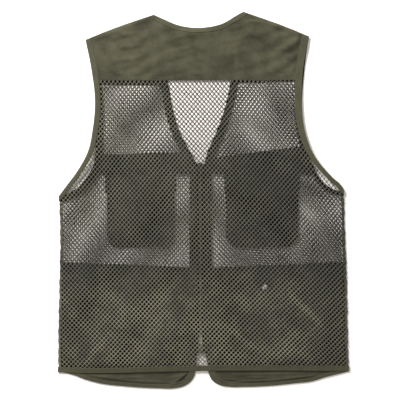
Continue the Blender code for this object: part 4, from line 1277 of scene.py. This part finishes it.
class VEST_OT_front_cloth(bpy.types.Operator):
    """Makes the twill of the fronts: yokes, chest bands, lower fronts and facings"""
    bl_idname = "vest.front_cloth"
    bl_label = "Front cloth"

    def execute(self, context):
        cloth = finish_of("inner_twill")
        # The tops of the front cloth face the back's net and take its painted shade
        shade = finish_of("shade")
        for side, table in SIDES.items():
            line = smooth_path(SHOULDER_LEFT if side == "left" else SHOULDER_RIGHT, 33)
            shoulder = edge_at(line, 0)
            left, right = front_sides(side, table, 2.0, 1.0)
            x, y = panel_grid(left, right, slanted(FRONT_YOKE_LINES[side]), shoulder, even(40),
                              even(36))
            piece = shell(f"front_yoke_cloth_{side}", x, y, front_drape, FRONT_YOKE_WALL,
                          cloth, shade)
            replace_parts(piece, f"front_yoke_{side}")
            x, y = panel_grid(left, right, level(BAND_BOTTOM), slanted(BAND_TOP_LINES[side]),
                              even(60), even(14))
            piece = shell(f"chest_band_cloth_{side}", x, y, front_drape, INNER_WALL, cloth,
                          shade)
            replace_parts(piece, f"chest_band_{side}")
            free, inner = facing_paths(side, FACING_WIDTH, 181)
            piece = tape(f"front_facing_cloth_{side}", free, inner, front_drape, FACING_BEAD,
                         cloth, "twill", shade=shade, profile=facing_profile(FACING_WIDTH))
            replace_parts(piece, f"front_facing_{side}")
            _, seam = side_paths(side, SIDE_SEAM_WIDTH - 1.0, 33)
            _, hem = hem_paths(side, -1.0, 81)
            outer = edge_at(seam, 1)
            left, right = (outer, right) if side == "left" else (left, outer)
            seam_x = abs(table["seam"][0][0])
            slope = LOWER_FRONT_SIDE - LOWER_FRONT_CENTRE

            def top(x, seam_x=seam_x, slope=slope):
                """Upper edge, which falls evenly from the side seam to the middle."""
                return LOWER_FRONT_CENTRE + slope * abs(x) / seam_x

            x, y = panel_grid(left, right, edge_at(hem, 0), top, even(120), even(110) ** 1.3)
            # Painted shade only above the back hem; below it the lower front lies in the open and
            # stays lit
            piece = shell(f"lower_front_cloth_{side}", x, y, hem_drape, INNER_WALL, cloth,
                          shade, BACK_HEM + 3.0)
            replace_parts(piece, f"lower_front_{side}")
        return {"FINISHED"}


# A pocket rises at its rim over this width and over its flap on a ramp of this length,
# and takes a painted half shade above this height
POCKET_RIM = 9.0
FLAP_RAMP = 26.0
HALF_SHADE_BOTTOM = 10.0
CHEST_POCKETS = [
    {"side": "left", "x0": -190.0, "x1": -58.0, "top": 47.0, "bottom": -92.0, "radius": 22.0},
    {"side": "right", "x0": 44.5, "x1": 186.0, "top": 47.0, "bottom": -92.0, "radius": 22.0},
]


def round_bottom(x0, x1, bottom, radius):
    """Lower edge of a pocket or flap: straight, with round corners."""
    def edge(x):
        """The bottom, raised by a quarter round near each side."""
        into = np.clip(radius - np.minimum(x - x0, x1 - x), 0.0, radius)
        return bottom + radius - np.sqrt(radius ** 2 - into ** 2)
    return edge


# The zip: its middle, ends of the tapes and of the teeth, half width, and heights of the
# tapes and teeth over the surface that the vest lies on
ZIP_X = -5.9
ZIP_TOP = 71.5
ZIP_BOTTOM = -300.0
CHAIN_TOP = 54.5
CHAIN_BOTTOM = -262.0
ZIP_HALF_WIDTH = 12.0
ZIP_TAPE_Z = 3.1
CHAIN_Z = 4.4
# The tapes part between the last tooth and this height, from half a gap to more
ZIP_PART_BOTTOM = -290.0
ZIP_HALF_GAP = 0.25
ZIP_PARTED = 2.4
# Section of a zip tape, from its outer edge: share of the width and height
ZIP_TAPE_SECTION = [(0.0, 0.3), (0.3, 0.9), (4.0, 1.0), (8.0, 1.0), (11.4, 0.95), (11.7, 0.5),
                    (11.4, 0.05), (8.0, 0.0), (4.0, 0.0), (0.3, 0.0)]
# A tooth: its section across the zip and upwards, half its length and the pitch
TOOTH_SECTION = [(-0.9, 0.0), (2.3, 0.0), (2.3, 1.2), (1.6, 1.5), (-0.5, 1.5), (-0.9, 1.1)]
TOOTH_HALF = 0.62
TOOTH_PITCH = 1.5


def zip_line(x):
    """Path down the zip, with x as a function of y."""
    y = np.linspace(ZIP_TOP, ZIP_BOTTOM, 121)
    return np.stack([x(y), y], axis=1)


def tooth_row():
    """Points and faces of the teeth: six-sided prisms that stand to each side by turns."""
    count = int((CHAIN_TOP - CHAIN_BOTTOM) / TOOTH_PITCH)
    y = CHAIN_TOP - (np.arange(count) + 0.5) * TOOTH_PITCH
    sign = np.where(np.arange(count) % 2 == 0, -1.0, 1.0)
    section = np.array(TOOTH_SECTION)
    half = np.array([[-TOOTH_HALF], [TOOTH_HALF]])
    px = ZIP_X + sign[:, None, None] * section[None, None, :, 0] + 0.0 * half[None]
    py = y[:, None, None] + half[None] + 0.0 * px
    pz = CHAIN_Z + section[None, None, :, 1] + 0.0 * px
    points = np.stack([px, py, pz], axis=-1).reshape(-1, 3)
    k = np.arange(6)
    base = np.arange(count)[:, None, None] * 12
    walls = np.stack([k, (k + 1) % 6, (k + 1) % 6 + 6, k + 6], axis=1)[None]
    ends = np.array([[0, 1, 2, 3], [0, 3, 4, 5], [9, 8, 7, 6], [11, 10, 9, 6]])[None]
    faces = np.concatenate([(base + walls).reshape(-1, 4), (base + ends).reshape(-1, 4)])
    turned = np.concatenate([np.repeat(sign, 6), np.repeat(sign, 4)]) > 0
    faces[turned] = faces[turned][:, ::-1]
    return points, faces


class VEST_OT_zip(bpy.types.Operator):
    """Makes the two zip tapes, which part below the last tooth, and the row of teeth"""
    bl_idname = "vest.zip"
    bl_label = "Zip"

    def execute(self, context):
        cloth, shade = finish_of("inner_twill"), finish_of("shade")
        tapes = []
        profile = np.array(ZIP_TAPE_SECTION)
        for side, sign in (("left", -1), ("right", 1)):
            def inner_x(y, sign=sign):
                """Inner edge of a zip tape, which stands off below the last tooth."""
                part = smooth_step((CHAIN_BOTTOM + 4.0 - y) / 10.0)
                part = part * smooth_step((y - ZIP_PART_BOTTOM) / 8.0)
                return ZIP_X + sign * (ZIP_HALF_GAP + ZIP_PARTED * part)

            outer = zip_line(level(ZIP_X + sign * ZIP_HALF_WIDTH))
            inner = zip_line(inner_x)
            # The tops of the zip tapes take painted shade under the net
            tapes.append(tape(f"zip_tape_cloth_{side}", outer, inner, level_z(ZIP_TAPE_Z), 1.0,
                              cloth, "zip_tape", shade=shade, profile=profile))
        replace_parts(tapes[0], "zip_tape")
        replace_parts(tapes[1], "zip_tape")
        points, faces = tooth_row()
        piece = make_piece("zip_teeth", points, faces, finish_of("teeth"),
                           smooth=False)
        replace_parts(piece, "zip_chain")
        return {"FINISHED"}


class VEST_OT_chest_pockets(bpy.types.Operator):
    """Makes the chest pockets, pressed flat"""
    bl_idname = "vest.chest_pockets"
    bl_label = "Chest pockets"

    def execute(self, context):
        cloth, shade = finish_of("inner_twill"), finish_of("shade")
        for pocket in CHEST_POCKETS:
            side, x0, x1 = pocket["side"], pocket["x0"], pocket["x1"]
            bottom = round_bottom(x0, x1, pocket["bottom"], pocket["radius"])
            x, y = panel_grid(level(x0), level(x1), bottom, level(pocket["top"]), even(56),
                              even(56))

            def face_height(px, py, x0=x0, x1=x1, bottom=bottom):
                """Underside of the pocket: up at the rim, and up over the flap's cloth."""
                inset = np.minimum(np.minimum(px - x0, x1 - px), py - bottom(px))
                rim = 1.0 - smooth_step(inset / POCKET_RIM)
                above = (py - CHEST_FLAP_BOTTOM + FLAP_RAMP + POCKET_RIM) / FLAP_RAMP
                over_flap = (FLAP_WALL + 0.3) * smooth_step(above)
                return over_flap + rim * (PILE_HEIGHT - 0.5 - POCKET_WALL - over_flap)

            # The pocket's top takes painted shade, and above the flap's lower edge a painted half
            # shade
            piece = shell(f"chest_pocket_cloth_{side}", x, y, face_height, POCKET_WALL, cloth,
                          shade)
            recolour_above(piece, HALF_SHADE_BOTTOM, finish_of("half_shade"))
            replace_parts(piece, f"chest_pocket_{side}")
        return {"FINISHED"}


def recolour_above(item, limit, material):
    """Gives the faces in painted shade whose middles lie above a height their own finish."""
    item.data.materials.append(material)
    count = len(item.data.polygons)
    middles = np.empty(count * 3)
    item.data.polygons.foreach_get("center", middles)
    index = np.empty(count, dtype=np.int32)
    item.data.polygons.foreach_get("material_index", index)
    chosen = (index == 1) & (middles.reshape(-1, 3)[:, 1] > limit * MM)
    index[chosen] = len(item.data.materials) - 1
    item.data.polygons.foreach_set("material_index", index)


class VEST_OT_side_seams(bpy.types.Operator):
    """Makes the side seams, whose turned edges lie under the back net's last holes"""
    bl_idname = "vest.side_seams"
    bl_label = "Side seams"

    def execute(self, context):
        for side in SIDES:
            outer, inner = side_paths(side, SIDE_SEAM_WIDTH, 121)
            inside = -SIDES[side]["sign"]
            y = outer[:, 1]
            wave = 0.5 * np.sin(y / 3.1) + 0.35 * np.sin(y / 7.7 + 1.0)
            outer = outer + np.stack([inside * (0.7 + wave), 0.0 * y], axis=1)
            keep = y < ARM_SEAM_TOP[side]
            piece = tape(f"side_seam_roll_{side}", outer[keep], inner[keep], front_drape,
                         SEAM_ROLL, finish_of("seam_net"), "net")
            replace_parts(piece, f"side_seam_{side}")
        return {"FINISHED"}


class VEST_OT_plain_parts(bpy.types.Operator):
    """Gives the solids that stay as they are their cloth, plastic and metal finishes"""
    bl_idname = "vest.plain_parts"
    bl_label = "Plain parts"

    def execute(self, context):
        for side in SIDES:
            for name in ("chest_flap", "lower_pocket", "lower_flap"):
                dress_node(f"{name}_{side}", finish_of("inner_twill"))
        dress_node("zip_box", finish_of("teeth"))
        # The slider and pull tab take near-black metal that stands for the painted shade under
        # the net
        dress_node("zip_slider", finish_of("painted"))
        dress_node("pull_tab", finish_of("painted"))
        dress_node("flap_stud", finish_of("metal"))
        return {"FINISHED"}


def dress_node(name, material):
    """Puts a finish on a fitted solid that stays as it is."""
    item = bpy.data.objects[name]
    if not item.material_slots:
        item.data.materials.append(material)
    for entry in item.material_slots:
        entry.material = material


# The yoke's two rows of stitches: their ends across and their heights
YOKE_STITCHES = (-204.0, 184.0)
YOKE_ROWS = (BACK_YOKE_SEAM + 5.0, BACK_YOKE_SEAM + 9.8)


class VEST_OT_stitches(bpy.types.Operator):
    """Sews rows of thread along the yoke seam, tapes and hems"""
    bl_idname = "vest.stitches"
    bl_label = "Stitches"

    def execute(self, context):
        wall = context.scene.vest_sizes.tape_wall / MM
        rows = []
        x = np.linspace(*YOKE_STITCHES, 200)
        for height in YOKE_ROWS:
            line = np.stack([x, level(height)(x)], axis=1)
            rows.append(stitch_row(line, yoke_drape, YOKE_WALL))
        _, inner = neck_paths(NECK_WIDTH - STITCH_INSET, 81)
        rows.append(stitch_row(inner[2:-2], yoke_drape, wall + NECK_EXTRA))
        hem_x = np.linspace(SIDE_LEFT[-1][0] + 2.0, SIDE_RIGHT[-1][0] - 2.0, 181)
        line = np.stack([hem_x, hem_line(hem_x) + HEM_WIDTH - STITCH_INSET], axis=1)
        rows.append(stitch_row(line, back_drape, wall))
        for side, table in SIDES.items():
            _, inner = arm_paths(table["arm"], side, ARM_WIDTH - STITCH_INSET, 121)
            rows.append(stitch_row(inner[1:-2], back_drape, wall))
            _, inner = hem_paths(side, -STITCH_INSET, 141)
            rows.append(stitch_row(inner[2:-2], hem_drape, wall))
        points, faces = join_rows(rows)
        make_piece("sewing_thread", points, faces, finish_of("thread"))
        return {"FINISHED"}


# The camera looks straight down at this place, in metres, and its sensor is in millimetres
CAMERA_X = -0.0069
CAMERA_Y = 0.0005
VIEW_WIDTH = 0.788
CAMERA_HEIGHT = 3.0
SENSOR_WIDTH = 36.0
# The floor: half its side, how far it lies below the vest, and its colour
FLOOR_REACH = 6.0
FLOOR_DROP = 0.0004
FLOOR_COLOUR = (0.90, 0.855, 0.815)
# Square lamps: name, place, side in metres and power in watts
LAMPS = [("key_lamp", (-1.25, 1.6, 1.25), 0.9, 121.0),
         ("fill_lamp", (1.2, -1.2, 2.4), 2.0, 9.0)]
SKY_STRENGTH = 0.52


def area_light(name, place, size, power):
    """A soft square lamp that looks from its place at the origin."""
    lamp = bpy.data.lights.new(name, "AREA")
    lamp.energy = power
    lamp.size = size
    item = bpy.data.objects.new(name, lamp)
    bpy.context.scene.collection.objects.link(item)
    item.location = place
    along = -np.array(place)
    pitch = math.atan2(math.hypot(along[0], along[1]), -along[2])
    item.rotation_euler = (pitch, 0.0, math.atan2(-along[0], along[1]))
    return item


class VEST_OT_stage(bpy.types.Operator):
    """Sets the pale floor, the soft studio lamps and the camera over the laid vest"""
    bl_idname = "vest.stage"
    bl_label = "Stage"

    def execute(self, context):
        scene = context.scene
        mesh = bpy.data.meshes.new("floor")
        corners = [(-1.0, -1.0), (1.0, -1.0), (1.0, 1.0), (-1.0, 1.0)]
        mesh.from_pydata([(x * FLOOR_REACH, y * FLOOR_REACH, 0.0) for x, y in corners], [],
                         [(0, 1, 2, 3)])
        floor = bpy.data.objects.new("floor", mesh)
        floor.location = (0.0, 0.0, -FLOOR_DROP)
        scene.collection.objects.link(floor)
        paper = Finish("white_paper")
        paper.set(Base_Color=(*FLOOR_COLOUR, 1.0), Roughness=0.9)
        mesh.materials.append(paper.material)
        for name, place, size, power in LAMPS:
            area_light(name, place, size, power)
        world = bpy.data.worlds.new("studio")
        world.use_nodes = True
        sky = world.node_tree.nodes["Background"]
        sky.inputs["Color"].default_value = (1.0, 1.0, 1.0, 1.0)
        sky.inputs["Strength"].default_value = SKY_STRENGTH
        scene.world = world
        scene.view_settings.view_transform = "Standard"
        lens = bpy.data.cameras.new("camera")
        lens.sensor_width = SENSOR_WIDTH
        lens.lens = SENSOR_WIDTH * CAMERA_HEIGHT / VIEW_WIDTH
        lens.clip_end = 50.0
        camera = bpy.data.objects.new("camera", lens)
        camera.location = (CAMERA_X, CAMERA_Y, CAMERA_HEIGHT)
        scene.collection.objects.link(camera)
        scene.camera = camera
        return {"FINISHED"}


class VEST_PT_panel(bpy.types.Panel):
    """Lists the vest's steps in the order in which they are made"""
    bl_label = "Utility vest"
    bl_idname = "VEST_PT_panel"
    bl_space_type = "VIEW_3D"
    bl_region_type = "UI"
    bl_category = "Vest"

    def draw(self, context):
        for operator in OPERATORS:
            self.layout.operator(operator.bl_idname)


OPERATORS = [VEST_OT_stage, VEST_OT_back_net, VEST_OT_front_nets, VEST_OT_back_yoke,
             VEST_OT_tapes, VEST_OT_front_cloth, VEST_OT_chest_pockets, VEST_OT_side_seams,
             VEST_OT_zip, VEST_OT_plain_parts, VEST_OT_stitches]
CLASSES = [VestSizes, VestColours, *OPERATORS, VEST_PT_panel]


def register():
    """Registers the classes and hangs the sizes and colours on the scene."""
    for item in CLASSES:
        bpy.utils.register_class(item)
    bpy.types.Scene.vest_sizes = PointerProperty(type=VestSizes)
    bpy.types.Scene.vest_colours = PointerProperty(type=VestColours)


def unregister():
    """Takes back what register adds."""
    del bpy.types.Scene.vest_colours
    del bpy.types.Scene.vest_sizes
    for item in reversed(CLASSES):
        bpy.utils.unregister_class(item)


def main():
    """Runs every operator in order."""
    register()
    for operator in OPERATORS:
        group, action = operator.bl_idname.split(".")
        getattr(getattr(bpy.ops, group), action)()


if __name__ == "__main__":
    main()
